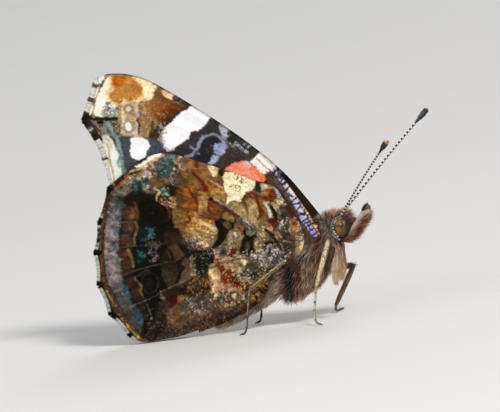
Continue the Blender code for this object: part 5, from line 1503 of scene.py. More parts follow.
def make_fur(settings):
    """Fur of the abdomen, the thorax and the head."""

    def abdomen_lie(along, angle, roots):
        n = len(along)
        return np.full(n, 0.75), np.ones(n), np.full(n, 0.25), np.full(n, 0.32)

    def thorax_lie(along, angle, roots):
        low = smooth_step((0.3 - np.sin(angle)) / 1.2)
        collar = smooth_step((along - 16.0) / 0.8) * smooth_step((np.sin(angle) - 0.2) / 0.5)
        length = 0.78 + 0.42 * low - 0.2 * collar
        return length, 1.0 - 0.4 * low - 0.6 * collar, 0.35 + 0.75 * low, 0.42 + 0.1 * low + 0.5 * collar

    def head_lie(along, angle, roots):
        top = smooth_step((np.sin(angle) - 0.35) / 0.5)
        face = smooth_step((along - 18.9) / 0.8) * (1 - top)
        length = 0.32 + 0.38 * top + 0.2 * face * (np.sin(angle) < 0)
        back = 0.4 - 0.9 * top - 1.1 * face
        return length, back, 0.5 - 0.4 * top, 0.35 + 0.75 * top

    def off_eyes(roots, along, angle):
        middle = body_point(*np.array(EYE_CENTRE))
        turn = BODY_PITCH - EYE_TILT
        x, z = roots[:, 0] - middle[0], roots[:, 2] - middle[2]
        dx = (x * math.cos(turn) + z * math.sin(turn)) / (EYE_HALF_SIZE[0] * 1.05)
        dz = (z * math.cos(turn) - x * math.sin(turn)) / (EYE_HALF_SIZE[2] * 1.05)
        return (dx * dx + dz * dz > 1.0) | (np.abs(roots[:, 1]) < 0.55)

    body_fur("abdomen_coat", settings.abdomen_tufts, 0.05, 10.4, settings, 21, "abdomen_fur", abdomen_lie)
    body_fur("thorax_coat", settings.thorax_tufts, 10.2, 17.4, settings, 22, "body_fur", thorax_lie)
    body_fur("head_coat", settings.head_tufts, 17.1, 20.1, settings, 23, "head_fur", head_lie, off_eyes)


def eye_frame(t, angle, grow=0.0):
    """Points on the left eye, outward directions; t runs from its outer pole to its inner one."""
    polar = t * np.pi
    side, ring = np.cos(polar), np.sin(polar)
    local = np.column_stack((ring * np.cos(angle), side, ring * np.sin(angle)))
    size = np.array(EYE_HALF_SIZE) + grow
    turn = BODY_PITCH - EYE_TILT
    c, s = math.cos(turn), math.sin(turn)
    to_world = np.array(((c, 0, s), (0, 1, 0), (-s, 0, c)))
    middle = body_point(*np.array(EYE_CENTRE))
    return middle + (local * size) @ to_world, unit(local / size) @ to_world


def paint_eye(t, angle, points):
    """Golden-brown eye with dark false pupils, darker in front, with a painted glint and painted shade on its inner
    half.
    """
    u, v = to_chart(points)
    c = Chart(u, v, 31, 0.3)
    c.fill((118, 78, 34), 0.2)
    c.flecks((62, 38, 20), [(332, 216), (350, 216), (350, 240), (332, 240)], 0.34, 1.5, amount=0.8, seed=3)
    c.flecks((176, 132, 76), [(333, 216), (350, 216), (350, 240), (333, 240)], 0.3, 1.6, amount=0.6)
    c.flecks((58, 38, 18), [(333, 216), (350, 216), (350, 240), (333, 240)], 0.26, 1.1, amount=0.7, seed=5)
    c.blob((164, 118, 58), (337.6, 221.5), (2.6, 3.0), 0, 2.2, 0.8)
    c.blob((158, 96, 30), (338.4, 231.4), (2.2, 3.6), 0, 2.0, 0.8)
    c.blob((92, 60, 28), (340.6, 219.4), (1.6, 1.2), 0, 1.4, 0.6)
    c.patch((40, 30, 18), [(341.6, 215), (348, 216), (354, 222), (354, 232), (348, 240), (341.4, 240), (342.8, 232), (343.2, 224)], 3.6, 0.95)
    c.line((96, 66, 30), [(342.8, 219), (343.6, 226), (343, 234)], (1.6, 2.2), 2.0, 0.7)
    c.line((70, 44, 22), [(341.8, 229), (341.6, 234), (340.8, 238)], (1.0, 0.8), 1.0, 0.7)
    c.blob((20, 14, 10), (341.0, 225.9), (0.95, 1.7), 10, 0.7)
    c.blob((60, 36, 18), (338.0, 225.2), (0.7, 1.0), 0, 0.8, 0.7)
    c.blob((40, 26, 14), (339.6, 229.6), (0.6, 0.8), 0, 0.8, 0.6)
    # painted highlight: a small pale glint beside the false pupil
    c.blob((206, 166, 110), (340.2, 224.0), (0.5, 0.4), 0, 0.6, 0.8)
    # painted shade: the inner half of the eye, towards the head, fades to deep brown
    rim = smooth_step((t - 0.5) / 0.06)
    return c.rgb + (np.array((62, 46, 26)) / 255.0 - c.rgb) * rim[:, None]


def make_eyes(settings):
    for name, side in SIDES:
        t, angle = np.meshgrid(np.linspace(0.02, 0.98, 60), np.arange(72) * 2 * np.pi / 72, indexing="ij")
        t, angle = t.ravel(), angle.ravel()
        points, _ = eye_frame(t, angle)
        points = np.vstack((points, points[:72].mean(0), points[-72:].mean(0)))
        t, angle = np.append(t, (0.0, 1.0)), np.append(angle, (0.0, 0.0))
        uv = np.column_stack((0.01 + 0.97 * t, 0.96 * angle / (2 * np.pi)))
        part = (points, ring_faces(60, 72), paint_eye(t, angle, points), uv)
        solid("eye_facets_" + name, [part], "eye_facets", side, ("eye_" + name,), "eye")


def make_eye_rims(settings):
    """Rows of pale and dark beads behind each eye."""
    rng = np.random.default_rng(41)
    rows = []
    for k, (rise, size, pale) in enumerate(((0.05, 0.26, (255, 252, 244)), (0.2, 0.18, (52, 42, 38)), (0.33, 0.2, (232, 226, 222)), (0.5, 0.22, (92, 74, 66)))):
        count = 26
        angle = np.radians(np.linspace(96, 262, count) + 3.5 * (k % 2)) + 0.03 * (rng.random(count) - 0.5)
        t = np.full(count, 0.36)
        points, out = eye_frame(t, angle, rise)
        near, _ = eye_frame(t, angle + 0.05, rise)
        ahead = unit(unit(near - points) * (0.8 if k % 2 else -0.2) + out * 0.55)
        colour = np.tile(np.array(pale, float) / 255.0, (count, 1)) * (0.75 + 0.4 * rng.random(count))[:, None]
        dark = (rng.random(count) < 0.2)[:, None]
        colour = np.where(dark, 0.25 * colour, 1.15 * colour)
        rows.append((points, ahead, out, np.full(count, size), colour))
    points, ahead, out, length, colour = (np.concatenate(item) for item in zip(*rows))
    uv = np.column_stack((rng.random(len(points)) * 0.9, rng.random(len(points)) * 0.9))
    for name, side in SIDES:
        flip = (1.0, side, 1.0)
        grow("eye_rim_" + name, points * flip, ahead * flip, out * flip, length, colour * 0.9, colour, uv, "body_hair", 0.55, 0.4, 0.0, "head_fur")


def palp_colours(points):
    u, v = to_chart(points)
    c = Chart(u, v, 33, 0.5)
    c.fill((112, 66, 36), 0.3)
    c.patch((100, 62, 40), [(348, 248), (356, 240), (366, 222), (370, 206), (362, 210), (352, 232)], 3.0)
    c.flecks((200, 150, 110), [(348, 248), (360, 236), (369, 212), (362, 210), (350, 236)], 0.3, 1.4)
    c.patch((44, 34, 32), [(340, 238), (346, 234), (350, 226), (354, 218), (357, 211), (353, 210), (347, 222), (342, 232)], 1.6)
    c.line((255, 254, 250), [(341.6, 243.8), (347, 240.6), (352.4, 233.2), (356.6, 225.2), (360, 217.4), (362.4, 212)], (5.0, 8.2, 6.6), 1.2)
    # painted highlight: a whiter line along the white band
    c.line((255, 255, 253), [(352.8, 228.4), (356.4, 222), (360, 214.6)], (4.0, 4.6), 1.2, 0.95)
    c.line((150, 150, 154), [(343, 241.4), (348, 236), (351.6, 229)], (1.0, 1.2), 1.2, 0.4)
    c.patch((34, 26, 24), [(357.6, 203), (363, 201), (364.6, 205.6), (362, 208.4), (358.6, 210.6), (356.4, 208)], 1.6)
    c.line((150, 134, 136), [(362.6, 204.2), (365, 203.4), (367, 204)], (1.2, 1.4), 1.2, 0.8)
    c.line((140, 84, 40), [(361.6, 210.2), (364.6, 208.4), (368, 205.6)], (2.0, 2.4), 1.4)
    c.blob((226, 160, 84), (366.8, 206.6), (1.6, 0.9), -40, 1.0)
    return c.rgb


def make_palps(settings):
    """The two palps, each a slim core under flat scales, with a loose fringe below that dies out towards the tip."""
    rng = np.random.default_rng(43)
    radii = np.array((0.24, 0.35, 0.28, 0.11))
    count = 6400
    t = (np.arange(count) + rng.random(count)) / count * 0.96
    angle = (np.arange(count) * 0.61803 % 1.0) * 2 * np.pi
    points, out, ahead = tube_frame(PALP_PATH, radii, t, angle, 1.1)
    rise = np.sin(angle)
    wisp = rng.random(count) ** 1.5
    under = smooth_step((-rise - 0.2) / 0.45) * (1 - smooth_step((t - 0.6) / 0.4))
    top = smooth_step((rise - 0.5) / 0.35)
    crest = top * smooth_step((t - 0.74) / 0.08) * (1 - smooth_step((t - 0.93) / 0.06))
    length = 0.24 - 0.13 * t + under * (0.26 + 1.05 * wisp) + 0.24 * crest * (0.5 + wisp)
    lift = 0.05 + under * (0.5 + 0.9 * rng.random(count)) + 0.12 * top * (1 - t) + 0.9 * crest
    lean = unit(ahead + out * lift[:, None] + 0.4 * (rng.random((count, 3)) - 0.5))
    fringe = blend((64, 34, 24), (150, 104, 74), rng.random(count) ** 2)
    tint = blend(palp_colours(points + lean * 0.08), fringe, under)
    tint = blend(tint, (28, 22, 20), crest)
    tint *= 1.06 + (0.4 + 0.6 * under[:, None]) * (rng.random(count) - 0.5)[:, None]
    tips = np.clip(tint * (1.25 + 0.15 * under[:, None]), 0, 1)
    uv = np.column_stack((0.02 + 0.95 * t, 0.01 + 0.95 * angle / (2 * np.pi)))
    for name, side in SIDES:
        flip = (1.0, side, 1.0)
        core = tube(PALP_PATH, radii, 40, 20, lambda t, angle, points: palp_colours(points) * 0.6, squash=1.1)
        solid("palp_core_" + name, [core], "body_skin", side, ("palp_" + name,), "palp_hair")
        grow("palp_coat_" + name, points * flip, lean * flip, out * flip, length, np.clip(tint, 0, 1) * 0.95, tips, uv, "body_hair", 0.07, 0.045, -0.1, "palp_hair")


def make_tongue(settings):
    """The coiled proboscis between the palps: three turns of a ridged tube that thins to its end."""
    turns = np.linspace(0, 1, 90)
    angle = 2.3 + turns * 2 * np.pi * 3.0
    reach = 0.52 - 0.36 * turns
    path = np.column_stack((TONGUE_CENTRE[0] + reach * np.cos(angle), 0.0 * turns, TONGUE_CENTRE[2] - reach * np.sin(angle)))
    radii = 0.075 + 0.012 * np.cos(np.arange(360) * 1.9) - 0.035 * np.linspace(0, 1, 360)

    def paint(t, angle, points):
        return blend((96, 58, 30), (38, 24, 16), smooth_step(0.5 + 0.5 * np.cos(t * 360 * 1.9)) * 0.6 + 0.3 * t)

    solid("proboscis_coil", [tube(path, radii, 360, 10, paint, squash=1.0)], "horny_tongue", 1, ("proboscis",), "tongue")


def make_antennae(settings):
    """Ringed feelers with a club at the end of each."""
    for name, side in SIDES:
        root, tip = (np.array(point) * (1.0, side, 1.0) for point in ANTENNAE[side])
        length = np.linalg.norm(tip - root)
        bow = np.array((0.0, 0.0, 0.16))
        path = [root + (tip - root) * f + bow * math.sin(math.pi * f) for f in np.linspace(-0.01, 0.997, 9)]
        rings = 300
        at = np.linspace(0, 1, rings) * length
        club = length - 2.45
        radii = 0.125 + 0.014 * np.cos(at * 2 * np.pi / 0.53)
        radii = np.maximum(radii, 0.215 - 0.3 * np.abs(at - 0.28))
        swell = np.clip((at - club) / 2.45, 0, 1)
        radii += 0.22 * smooth_step(swell / 0.55) * (1.0 - 0.3 * smooth_step((swell - 0.6) / 0.4)) * (at > club)
        radii *= np.sqrt(np.clip((length - at) / 0.42, 0.0, 1.0))
        radii = np.maximum(radii, 0.01)

        def paint(t, angle, points, length=length, club=club):
            at = t * length
            ring = smooth_step((np.cos(at * 2 * np.pi / 0.53) + 0.1) / 0.5)
            # painted shade: on the left feeler the pale rings turn dark on the side away from the light
            lit = smooth_step((np.cos(angle - 1.9) + 0.55) / 0.5) if side > 0 else 1.0
            rgb = blend((22, 20, 20), (236, 232, 218), ring * lit)
            swell = np.clip((at - club + 0.25) / 2.7, 0, 1)
            # the club's black, with a painted grey-blue sheen on its upper side
            club_black_and_sheen = blend((24, 22, 22), (98, 110, 116), 0.75 * smooth_step((np.cos(angle - 1.9) - 0.1) / 0.7) * smooth_step((0.75 - swell) / 0.2))
            rgb = blend(rgb, club_black_and_sheen, smooth_step((at - club + 0.2) / 0.25))
            rgb = blend(rgb, (190, 116, 54), smooth_step((swell - 0.80) / 0.06))
            # the pale tip, painted cream only on the lit side: partly its own pale scales and partly a painted
            # highlight
            return blend(rgb, (250, 236, 208), smooth_step((swell - 0.84) / 0.08) * smooth_step((np.cos(angle - 1.7) - 0.2) / 0.5))

        solid("feeler_" + name, [tube(path, radii, rings, 14, paint)], "feeler_scales", side, ("antenna_" + name, "antenna_club_" + name), "antenna_black")


def leg_paint(pale, dark, speckle, seed, turn=0.5, reach=0.45):
    """Pale scales on the outer side with dark speckles, dark ones on the inner side; the dark side is partly the legs'
    own colour and partly painted shade.
    """

    def paint(t, angle, points):
        around = np.cos(angle + turn)
        # the dark side, partly the legs' own inner scales and partly painted shade
        rgb = blend(dark, pale, smooth_step((around + reach) / 0.7))
        fine = noise(t * 70 + 400, angle * 5 + 40, 1.0, seed)
        rgb = blend(rgb, dark, speckle * smooth_step((fine - 0.56) / 0.12))
        broad = noise(t * 12 + 400, angle * 1.6 + 40, 1.0, seed + 1)
        return rgb * (0.86 + 0.28 * broad)[:, None]

    return paint


def leg_tubes(hip, knee, ankle, foot, seed, hind):
    """Femur, tibia with its spurs, and a tarsus of five joints with claws, as closed shells."""
    hip, knee, ankle = (np.array(point, float) for point in (hip, knee, ankle))
    foot = np.array(foot, float)
    toe = foot[-1] - foot[-2]
    toe /= np.linalg.norm(toe)
    pale, dark = ((206, 176, 130), (58, 46, 34)) if hind else ((216, 200, 156), (96, 72, 48))
    coat = leg_paint(pale, dark, 0.7, seed, *((1.2, -0.1) if hind else (0.5, 0.2)))
    # the femur's dark brown is partly its own colour and partly painted shade, where it lies beside the tibia under the
    # body
    brown = leg_paint((70, 50, 38), (34, 25, 20), 0.5, seed + 3)
    cap = (232, 206, 160) if hind else (140, 70, 34)
    knee_cap = lambda t, angle, points: blend(coat(t, angle, points), cap, smooth_step((0.07 - t) / 0.05))
    steps = np.linspace(0, 1, 25)[:, None]
    femur = hip + (knee - hip) * steps
    tibia = knee + (ankle - knee) * steps
    shin = np.interp(np.linspace(0, 1, 25), (0, 0.05, 0.12, 0.3, 0.7, 0.92, 1.0), (0.14, 0.27, 0.29, 0.33, 0.3, 0.25, 0.17)) * (0.6 if hind else 1.0)
    thigh = np.interp(np.linspace(0, 1, 25), (0, 0.1, 0.5, 0.92, 1.0), (0.2, 0.3, 0.33, 0.24, 0.12))
    tarsus = sample(np.vstack((ankle, foot)), 0.06)
    share = np.linspace(0, 4.999, 60) % 1.0
    toes = 0.115 + 0.045 * share ** 2 - 0.02 * np.linspace(0, 1, 60)
    toes[:2], toes[-2:] = 0.09, 0.07
    joint = lambda t, angle, points: blend(coat(t, angle, points), (58, 44, 32), 0.75 * smooth_step(((t * 4.999) % 1.0 - 0.8) / 0.12) + 0.45 * smooth_step((t - 0.72) / 0.2))
    rows = [(femur, thigh, 25, 14, brown), (tibia, shin, 40, 16, knee_cap), (tarsus, toes, 90, 12, joint)]
    down = unit(ankle - knee)
    across = np.array((0.0, 1.0, 0.0))
    for lean in (0.5, -0.35):
        tip = ankle + unit(down + across * lean + np.array((0.2, 0, 0))) * 0.55
        rows.append((ankle - down * 0.06 + (tip - ankle) * steps[::3], np.linspace(0.05, 0.012, 9), 9, 8, lambda t, angle, points: blend((190, 150, 96), (50, 34, 24), t)))
    end = foot[-1]
    for lean in (0.6, -0.6):
        curl = np.array([end + toe * 0.22 * f + across * lean * 0.16 * f * (1.2 - f) * 2 - np.array((0, 0, 0.10 * f ** 2)) for f in np.linspace(0, 1, 9)])
        curl[:, 2] = np.maximum(curl[:, 2], 0.03)
        rows.append((curl, np.linspace(0.045, 0.01, 9), 9, 8, lambda t, angle, points: blend((60, 42, 28), (20, 14, 10), t)))
    pad = np.array([end + toe * 0.12 * f - np.array((0, 0, 0.02)) for f in np.linspace(0, 1, 5)])
    rows.append((pad, np.array((0.04, 0.07, 0.075, 0.06, 0.02)), 9, 10, lambda t, angle, points: blend((70, 54, 40), (44, 34, 26), t)))
    parts = []
    for k, (path, radii, rings, sides, paint) in enumerate(rows):
        parts.append(tube(path, radii, rings, sides, paint, (k / len(rows), (k + 1) / len(rows))))
    return parts


def leg_bristles(hip, knee, ankle, foot, rng):
    """Roots, directions, lengths and colours of the hair of the femur and the spines of tibia and tarsus."""
    hip, knee, ankle = (np.array(point, float) for point in (hip, knee, ankle))
    steps = np.linspace(0, 1, 9)[:, None]
    rows = []
    for path, radii, count, span, lift, length, root, tip in (
        # the femur's hair is dark too: partly its own colour, partly painted shade
        (hip + (knee - hip) * steps, (0.26, 0.33, 0.2), 420, (0, 2 * np.pi), 0.35, 0.42, (44, 30, 24), (104, 78, 60)),
        (knee + (ankle - knee) * steps, (0.2, 0.28, 0.2), 420, (-1.6, 1.2), 0.1, 0.18, (130, 106, 72), (232, 214, 172)),
        (knee + (ankle - knee) * steps, (0.2, 0.28, 0.2), 60, (2.4, 4.0), 0.7, 0.26, (44, 32, 24), (40, 28, 20)),
        (sample(np.vstack((ankle, foot)), 0.3), (0.12, 0.12, 0.1), 110, (1.2, 5.2), 0.9, 0.16, (44, 32, 24), (40, 28, 20)),
    ):
        t = (np.arange(count) + rng.random(count)) / count * 0.94 + 0.03
        angle = span[0] + (span[1] - span[0]) * rng.random(count)
        points, out, ahead = tube_frame(path, radii, t, angle)
        lean = unit(ahead + out * lift + 0.25 * (rng.random((count, 3)) - 0.5))
        shade = (0.75 + 0.5 * rng.random(count))[:, None]
        keep = points[:, 2] > 0.22
        rows.append([item[keep] for item in (
            points, lean, out, length * (0.7 + 0.6 * rng.random(count)),
            np.array(root) / 255.0 * shade, np.clip(np.array(tip) / 255.0 * shade, 0, 1),
            np.column_stack((t * 0.95, 0.22 * len(rows) + 0.2 * (angle - span[0]) / (span[1] - span[0]))),
        )])
    return [np.concatenate(item) for item in zip(*rows)]


def make_legs(settings):
    """The four walking legs, each with femur, tibia, spurs, tarsus, claws and bristles."""
    for seed, (name, (hip, knee, ankle, foot)) in enumerate(LEGS.items()):
        side = -1 if name.endswith("right") else 1
        parts = leg_tubes(hip, knee, ankle, foot, 60 + seed, name.startswith("hind"))
        nodes = tuple(name + "_" + joint for joint in ("femur", "tibia", "tarsus"))
        solid(name + "_shell", parts, "leg_scales", side, nodes, "leg_tan")
        rng = np.random.default_rng(70 + seed)
        points, lean, out, length, root_rgb, tip_rgb, uv = leg_bristles(hip, knee, ankle, foot, rng)
        flip = (1.0, side, 1.0)
        grow(name + "_bristles", points * flip, lean * flip, out * flip, length, root_rgb, tip_rgb, uv, "body_hair", 0.14, 0.1, -0.05, "leg_brown")


def make_forelegs(settings):
    """The short front legs, folded like brushes under the head."""
    rng = np.random.default_rng(81)
    radii = (0.14, 0.22, 0.3, 0.27, 0.04)
    path = sample(FORELEG_PATH, 0.3)
    count = 4200
    t = (np.arange(count) + rng.random(count)) / count * 0.97
    angle = (np.arange(count) * 0.61803 % 1.0) * 2 * np.pi
    points, out, ahead = tube_frame(path, radii, t, angle)
    wisp = rng.random(count) ** 1.3
    low = smooth_step((t - 0.25) / 0.3)
    length = (0.28 + 0.62 * wisp * low) * (1 - 0.4 * smooth_step((t - 0.7) / 0.3))
    lift = 0.08 + 0.5 * wisp * low
    lean = unit(ahead + out * lift[:, None] + 0.25 * (rng.random((count, 3)) - 0.5))
    streak = noise(angle * 2.2 + 60, t * 5 + 60, 1.0, 82)
    tint = blend(blend((196, 142, 108), (244, 200, 160), low), (255, 232, 204), 0.6 * wisp)
    tint = blend(tint, (176, 126, 92), 0.3 * smooth_step((streak - 0.58) / 0.1))
    # painted shade: the brush darkens along its front side
    tint = blend(tint, (150, 104, 72), 0.5 * smooth_step((np.sin(angle) - 0.6) / 0.3))
    tint *= (0.8 + 0.4 * rng.random(count))[:, None]
    uv = np.column_stack((0.02 + 0.95 * t, 0.01 + 0.95 * angle / (2 * np.pi)))
    for name, side in SIDES:
        flip = (1.0, side, 1.0)
        core = tube(path, radii, 40, 14, lambda t, angle, points: blend((150, 112, 84), (120, 84, 62), t))
        solid("foreleg_core_" + name, [core], "body_skin", side, ("foreleg_" + name,), "foreleg_hair")
        grow("foreleg_brush_" + name, points * flip, lean * flip, out * flip, length, np.clip(tint * 0.9, 0, 1), np.clip(tint * 1.12, 0, 1), uv, "body_hair", 0.06, 0.04, -0.1, "foreleg_hair")


def fringe_share(kind, outline):
    """How much of the fringe each outline point carries: none along the leading edge."""
    x, z = outline[:, 0], outline[:, 1]
    if kind == "forewing":
        return smooth_step((-14.6 - x) / 1.0) * smooth_step((31.3 - z) / 0.5)
    return np.maximum(smooth_step((-14.4 - x) / 1.0), smooth_step((7.2 - z) / 1.0) * smooth_step((3.5 - x) / 1.5))


def make_fringe(settings):
    """Hair-scales along the outer margins, in two overlapping layers."""
    rng = np.random.default_rng(91)
    for kind in ("forewing", "hindwing"):
        outline = (forewing_outline if kind == "forewing" else hindwing_outline)(0.03)
        ahead = unit(np.roll(outline, -1, 0) - np.roll(outline, 1, 0))
        outward = outline - drawn_in(outline, np.full(len(outline), 1.0))
        share = fringe_share(kind, outline)
        pick = np.nonzero(rng.random(len(outline)) < 1.3 * share)[0]
        pick = pick[outline[pick, 1] + 0.4 * outward[pick, 1] > 0.12]
        pick = np.concatenate((pick, pick))
        count = len(pick)
        layer = np.arange(count) < count / 2
        depth = np.where(layer, 0.40, 0.3) * share[pick]
        x, z = (outline[pick] - outward[pick] * depth[:, None]).T
        face = (forewing_face if kind == "forewing" else hindwing_face)(x, z) - np.where(layer, 0.0, 0.05)
        roots = np.column_stack((x, face, z))
        slant = 0.5 * (rng.random(count) - 0.5)
        lean = outward[pick] + ahead[pick] * slant[:, None]
        lean = unit(np.column_stack((lean[:, 0], 0.12 * (rng.random(count) - 0.4), lean[:, 1])))
        longer = 0.25 * (kind == "forewing") * smooth_step((z - 20.0) / 2.0)
        length = (depth + 0.03 + longer) * (0.86 + 0.26 * rng.random(count))
        tips = roots + lean * (depth * 0.75)[:, None]
        # the hindwing's fringe takes the painted shade of its chart's grey-white fringe
        chart = Chart(*to_chart(tips), 3 if kind == "forewing" else 5, 0.4)
        (forewing_under if kind == "forewing" else hindwing_under)(chart)
        rgb = chart.rgb * (0.85 + 0.3 * rng.random(count))[:, None]
        low, size = outline.min(0), np.ptp(outline, axis=0).max() * 1.05
        uv = (np.column_stack((x, z)) - low) / size
        out = np.tile((0.0, 1.0, 0.0), (count, 1))
        for name, side in SIDES:
            flip = (1.0, side, 1.0)
            grow(kind + "_fringe_" + name, roots * flip, lean * flip, out * flip, length, np.clip(rgb * 0.8, 0, 1), np.clip(rgb * 1.08, 0, 1), uv, "wing_scales", 0.26, 0.05, 0.0, kind)


def make_root_hair(settings):
    """Long hair-scales that spread from the body over the base of each hindwing."""
    rng = np.random.default_rng(93)
    count = settings.root_tufts
    reach = 0.8 + 2.4 * rng.random(count) ** 0.8
    turn = np.radians(150 + 74 * rng.random(count))
    x, z = WING_HINGE[0] - 1.2 + reach * np.cos(turn), WING_HINGE[1] - 1.6 + reach * np.sin(turn)
    keep = outline_distance(x, z, hindwing_outline(0.3)) > 0.25
    x, z, turn, reach = x[keep], z[keep], turn[keep], reach[keep]
    count = len(x)
    roots = np.column_stack((x, hindwing_face(x, z) - 0.04, z))
    wave = noise(x + 60, z + 60, 0.8, 95) - 0.5
    lean = np.column_stack((np.cos(turn), 0.0 * turn, np.sin(turn))) + np.column_stack((0.5 * wave, 0.16 + 0.2 * rng.random(count), -0.25 + 0.5 * wave))
    lean = unit(lean)
    chart = Chart(*to_chart(roots), 5, 0.6)
    hindwing_under(chart)
    shade = (0.75 + 0.5 * rng.random(count))[:, None]
    tips = np.clip((chart.rgb * 0.9 + 0.1 * np.array((190, 170, 150)) / 255.0) * shade, 0, 1)
    length = (0.7 - 0.12 * reach) * (0.7 + 0.6 * rng.random(count))
    low = np.array((x.min(), z.min()))
    uv = (np.column_stack((x, z)) - low) / 12.0
    out = np.tile((0.0, 1.0, 0.0), (count, 1))
    for name, side in SIDES:
        flip = (1.0, side, 1.0)
        grow("wing_root_hair_" + name, roots * flip, lean * flip, out * flip, length, np.clip(chart.rgb * 0.6 * shade, 0, 1), tips, uv, "body_hair", 0.1, 0.05, -0.12, "hindwing")


def floor_material():
    """Matt paper-white ground with a faint fibre."""
    made = bpy.data.materials.new("studio_floor")
    made.use_nodes = True
    t = Tree(made.node_tree)
    shader = made.node_tree.nodes["Principled BSDF"]
    place = t.add("ShaderNodeTexCoord").outputs["Object"]
    cloud_soft = t.add("ShaderNodeTexNoise", Vector=place, Scale=30.0, Detail=3.0)
    settings = bpy.context.scene.red_admiral
    low = [channel * 0.97 for channel in settings.floor_colour]
    colour = t.mix(cloud_soft.outputs[0], (*low, 1.0), (*settings.floor_colour, 1.0))
    t.put(shader, "Base Color", colour)
    shader.inputs["Roughness"].default_value = 0.85
    fibre = t.add("ShaderNodeTexNoise", Vector=place, Scale=4000.0, Detail=3.0)
    t.put(shader, "Normal", t.add("ShaderNodeBump", Strength=0.1, Distance=0.00002, Height=fibre.outputs[0]).outputs[0])
    return made


def area_light(name, place, target, width, power, colour):
    light = bpy.data.lights.new(name, "AREA")
    light.shape = "DISK"
    light.size = width
    light.energy = power
    light.color = colour
    made = link(name, light)
    made.location = place
    made.rotation_euler = (Vector(target) - Vector(place)).to_track_quat("-Z", "Y").to_euler()
    return made


def make_stage(settings):
    """Floor, lights and the camera at the photograph's angle."""
    half = 4000.0
    mesh = fill_mesh("floor", np.array([(-half, -half, 0), (half, -half, 0), (half, half, 0), (-half, half, 0)]), [(0, 1, 2, 3)])
    mesh.materials.append(floor_material())
    link("floor", mesh)

    right, up = (Vector(axis) for axis in chart_axes())
    back = right.cross(up)
    aim = Vector(settings.aim) * MM
    camera = bpy.data.cameras.new("camera")
    made = link("camera", camera)
    distance = settings.camera_distance
    camera.sensor_width = 36.0
    camera.lens = 36.0 * distance / (CHART_STEP * MM * 500)
    camera.clip_start = 0.01
    camera.clip_end = 20.0
    turn = Matrix((right, up, back)).transposed().to_4x4()
    made.matrix_world = Matrix.Translation(aim + back * distance) @ turn
    bpy.context.scene.camera = made

    bpy.context.scene.view_settings.view_transform = "Standard"
    middle = (0.0, 0.0, 0.014)
    area_light("key_light", (0.42, -0.55, 0.62), middle, 0.22, settings.key_power, (1.0, 0.965, 0.91))
    area_light("fill_light", (-0.65, -0.6, 0.35), middle, 0.7, settings.key_power * 0.22, (0.9, 0.95, 1.0))
    area_light("back_light", (0.1, 0.8, 0.7), middle, 0.5, settings.key_power * 0.3, (1.0, 1.0, 1.0))
    world = bpy.data.worlds.new("studio")
    bpy.context.scene.world = world
    world.use_nodes = True
    world.node_tree.nodes["Background"].inputs[0].default_value = (0.95, 0.97, 1.0, 1.0)
    world.node_tree.nodes["Background"].inputs[1].default_value = settings.sky_light


class RedAdmiralSettings(bpy.types.PropertyGroup):
    net_step: FloatProperty(name="Wing net step", description="Spacing of the points on a wing's underside, in mm", default=0.085, min=0.05, max=0.5)
    upper_step: FloatProperty(name="Upper net step", description="Spacing of the points on a wing's upper side, in mm", default=0.22, min=0.1, max=0.8)
    rim_step: FloatProperty(name="Rim step", description="Spacing of the points along a wing's rim, in mm", default=0.1, min=0.05, max=0.5)
    wing_thickness: FloatProperty(name="Wing thickness", description="Thickness of a wing's membrane, in mm", default=0.1, min=0.03, max=0.2)
    coat_length: FloatProperty(name="Coat length", description="Length of the fur as a share of the real one", default=1.0, min=0.2, max=2.0)
    thorax_tufts: IntProperty(name="Thorax tufts", description="Number of tufts on the thorax", default=14000, min=0, max=20000)
    abdomen_tufts: IntProperty(name="Abdomen tufts", description="Number of tufts on the abdomen", default=13000, min=0, max=20000)
    head_tufts: IntProperty(name="Head tufts", description="Number of tufts on the head", default=8000, min=0, max=20000)
    root_tufts: IntProperty(name="Wing root tufts", description="Number of hair tufts at the base of each hindwing", default=1300, min=0, max=20000)
    aim: FloatVectorProperty(name="Aim", description="Point that the camera looks at, in mm", default=(-1.36, 1.74, 13.97), size=3)
    camera_distance: FloatProperty(name="Camera distance", description="Distance of the camera from its aim", default=1.0, unit="LENGTH")
    key_power: FloatProperty(name="Key power", description="Power of the main light, in watts", default=5.6, min=0.0)
    sky_light: FloatProperty(name="Sky light", description="Strength of the soft light from all round", default=0.36, min=0.0)
    floor_colour: FloatVectorProperty(name="Floor colour", description="Colour of the studio floor", subtype="COLOR", default=(0.9, 0.89, 0.87), min=0.0, max=1.0)


class BuildStep(bpy.types.Operator):
    """A step that builds a group of pieces"""

    bl_idname = "butterfly.build_step"
    bl_label = "Build Step"
    bl_options = {"REGISTER", "UNDO"}

    def execute(self, context):
        self.build(context.scene.red_admiral)
        return {"FINISHED"}


class AddForewings(BuildStep):
    """Builds both forewings with their markings and veins"""

    bl_idname = "butterfly.add_forewings"
    bl_label = "Forewings"

    def build(self, settings):
        make_wings("forewing", settings)


class AddHindwings(BuildStep):
    """Builds both hindwings with their markings and veins"""

    bl_idname = "butterfly.add_hindwings"
    bl_label = "Hindwings"

    def build(self, settings):
        make_wings("hindwing", settings)


class AddBodySkin(BuildStep):
    """Builds the one skin of head, thorax and abdomen"""

    bl_idname = "butterfly.add_body_skin"
    bl_label = "Body skin"

    def build(self, settings):
        make_skin(settings)


class AddBodyFur(BuildStep):
    """Lays the fur over the body"""

    bl_idname = "butterfly.add_body_fur"
    bl_label = "Body fur"

    def build(self, settings):
        make_fur(settings)


class AddEyes(BuildStep):
    """Builds both eyes"""

    bl_idname = "butterfly.add_eyes"
    bl_label = "Eyes"

    def build(self, settings):
        make_eyes(settings)
        make_eye_rims(settings)


class AddPalps(BuildStep):
    """Builds both palps"""

    bl_idname = "butterfly.add_palps"
    bl_label = "Palps"

    def build(self, settings):
        make_palps(settings)


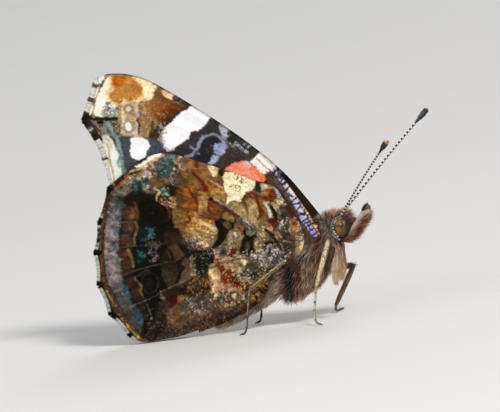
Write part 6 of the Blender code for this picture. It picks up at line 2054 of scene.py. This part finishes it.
class AddTongue(BuildStep):
    """Builds the coiled proboscis"""

    bl_idname = "butterfly.add_tongue"
    bl_label = "Proboscis"

    def build(self, settings):
        make_tongue(settings)


class AddAntennae(BuildStep):
    """Builds both antennae with their clubs"""

    bl_idname = "butterfly.add_antennae"
    bl_label = "Antennae"

    def build(self, settings):
        make_antennae(settings)


class AddLegs(BuildStep):
    """Builds the four walking legs"""

    bl_idname = "butterfly.add_legs"
    bl_label = "Walking legs"

    def build(self, settings):
        make_legs(settings)


class AddForelegs(BuildStep):
    """Builds the two brush-like front legs"""

    bl_idname = "butterfly.add_forelegs"
    bl_label = "Front legs"

    def build(self, settings):
        make_forelegs(settings)


class AddFringe(BuildStep):
    """Lays the fringe along the wings' margins and the hair at their base"""

    bl_idname = "butterfly.add_fringe"
    bl_label = "Wing fringe and root hair"

    def build(self, settings):
        make_fringe(settings)
        make_root_hair(settings)


class AddStage(BuildStep):
    """Builds the floor, the lights and the camera"""

    bl_idname = "butterfly.add_stage"
    bl_label = "Stage"

    def build(self, settings):
        make_stage(settings)


STEPS = (AddForewings, AddHindwings, AddBodySkin, AddBodyFur, AddEyes, AddPalps, AddTongue, AddAntennae, AddLegs, AddForelegs, AddFringe, AddStage)


class ButterflyPanel(bpy.types.Panel):
    """Lists the sizes, the colours and the building steps"""

    bl_idname = "VIEW3D_PT_butterfly"
    bl_label = "Red Admiral"
    bl_space_type = "VIEW_3D"
    bl_region_type = "UI"
    bl_category = "Butterfly"

    def draw(self, context):
        settings = context.scene.red_admiral
        for name in settings.bl_rna.properties.keys():
            if name not in ("rna_type", "name"):
                self.layout.prop(settings, name)
        for step in STEPS:
            self.layout.operator(step.bl_idname)


CLASSES = (RedAdmiralSettings, *STEPS, ButterflyPanel)


def register():
    for item in CLASSES:
        bpy.utils.register_class(item)
    bpy.types.Scene.red_admiral = PointerProperty(type=RedAdmiralSettings)


def unregister():
    del bpy.types.Scene.red_admiral
    for item in reversed(CLASSES):
        bpy.utils.unregister_class(item)


def main():
    register()
    for step in STEPS:
        getattr(bpy.ops.butterfly, step.bl_idname.split(".")[1])()


if __name__ == "__main__":
    main()
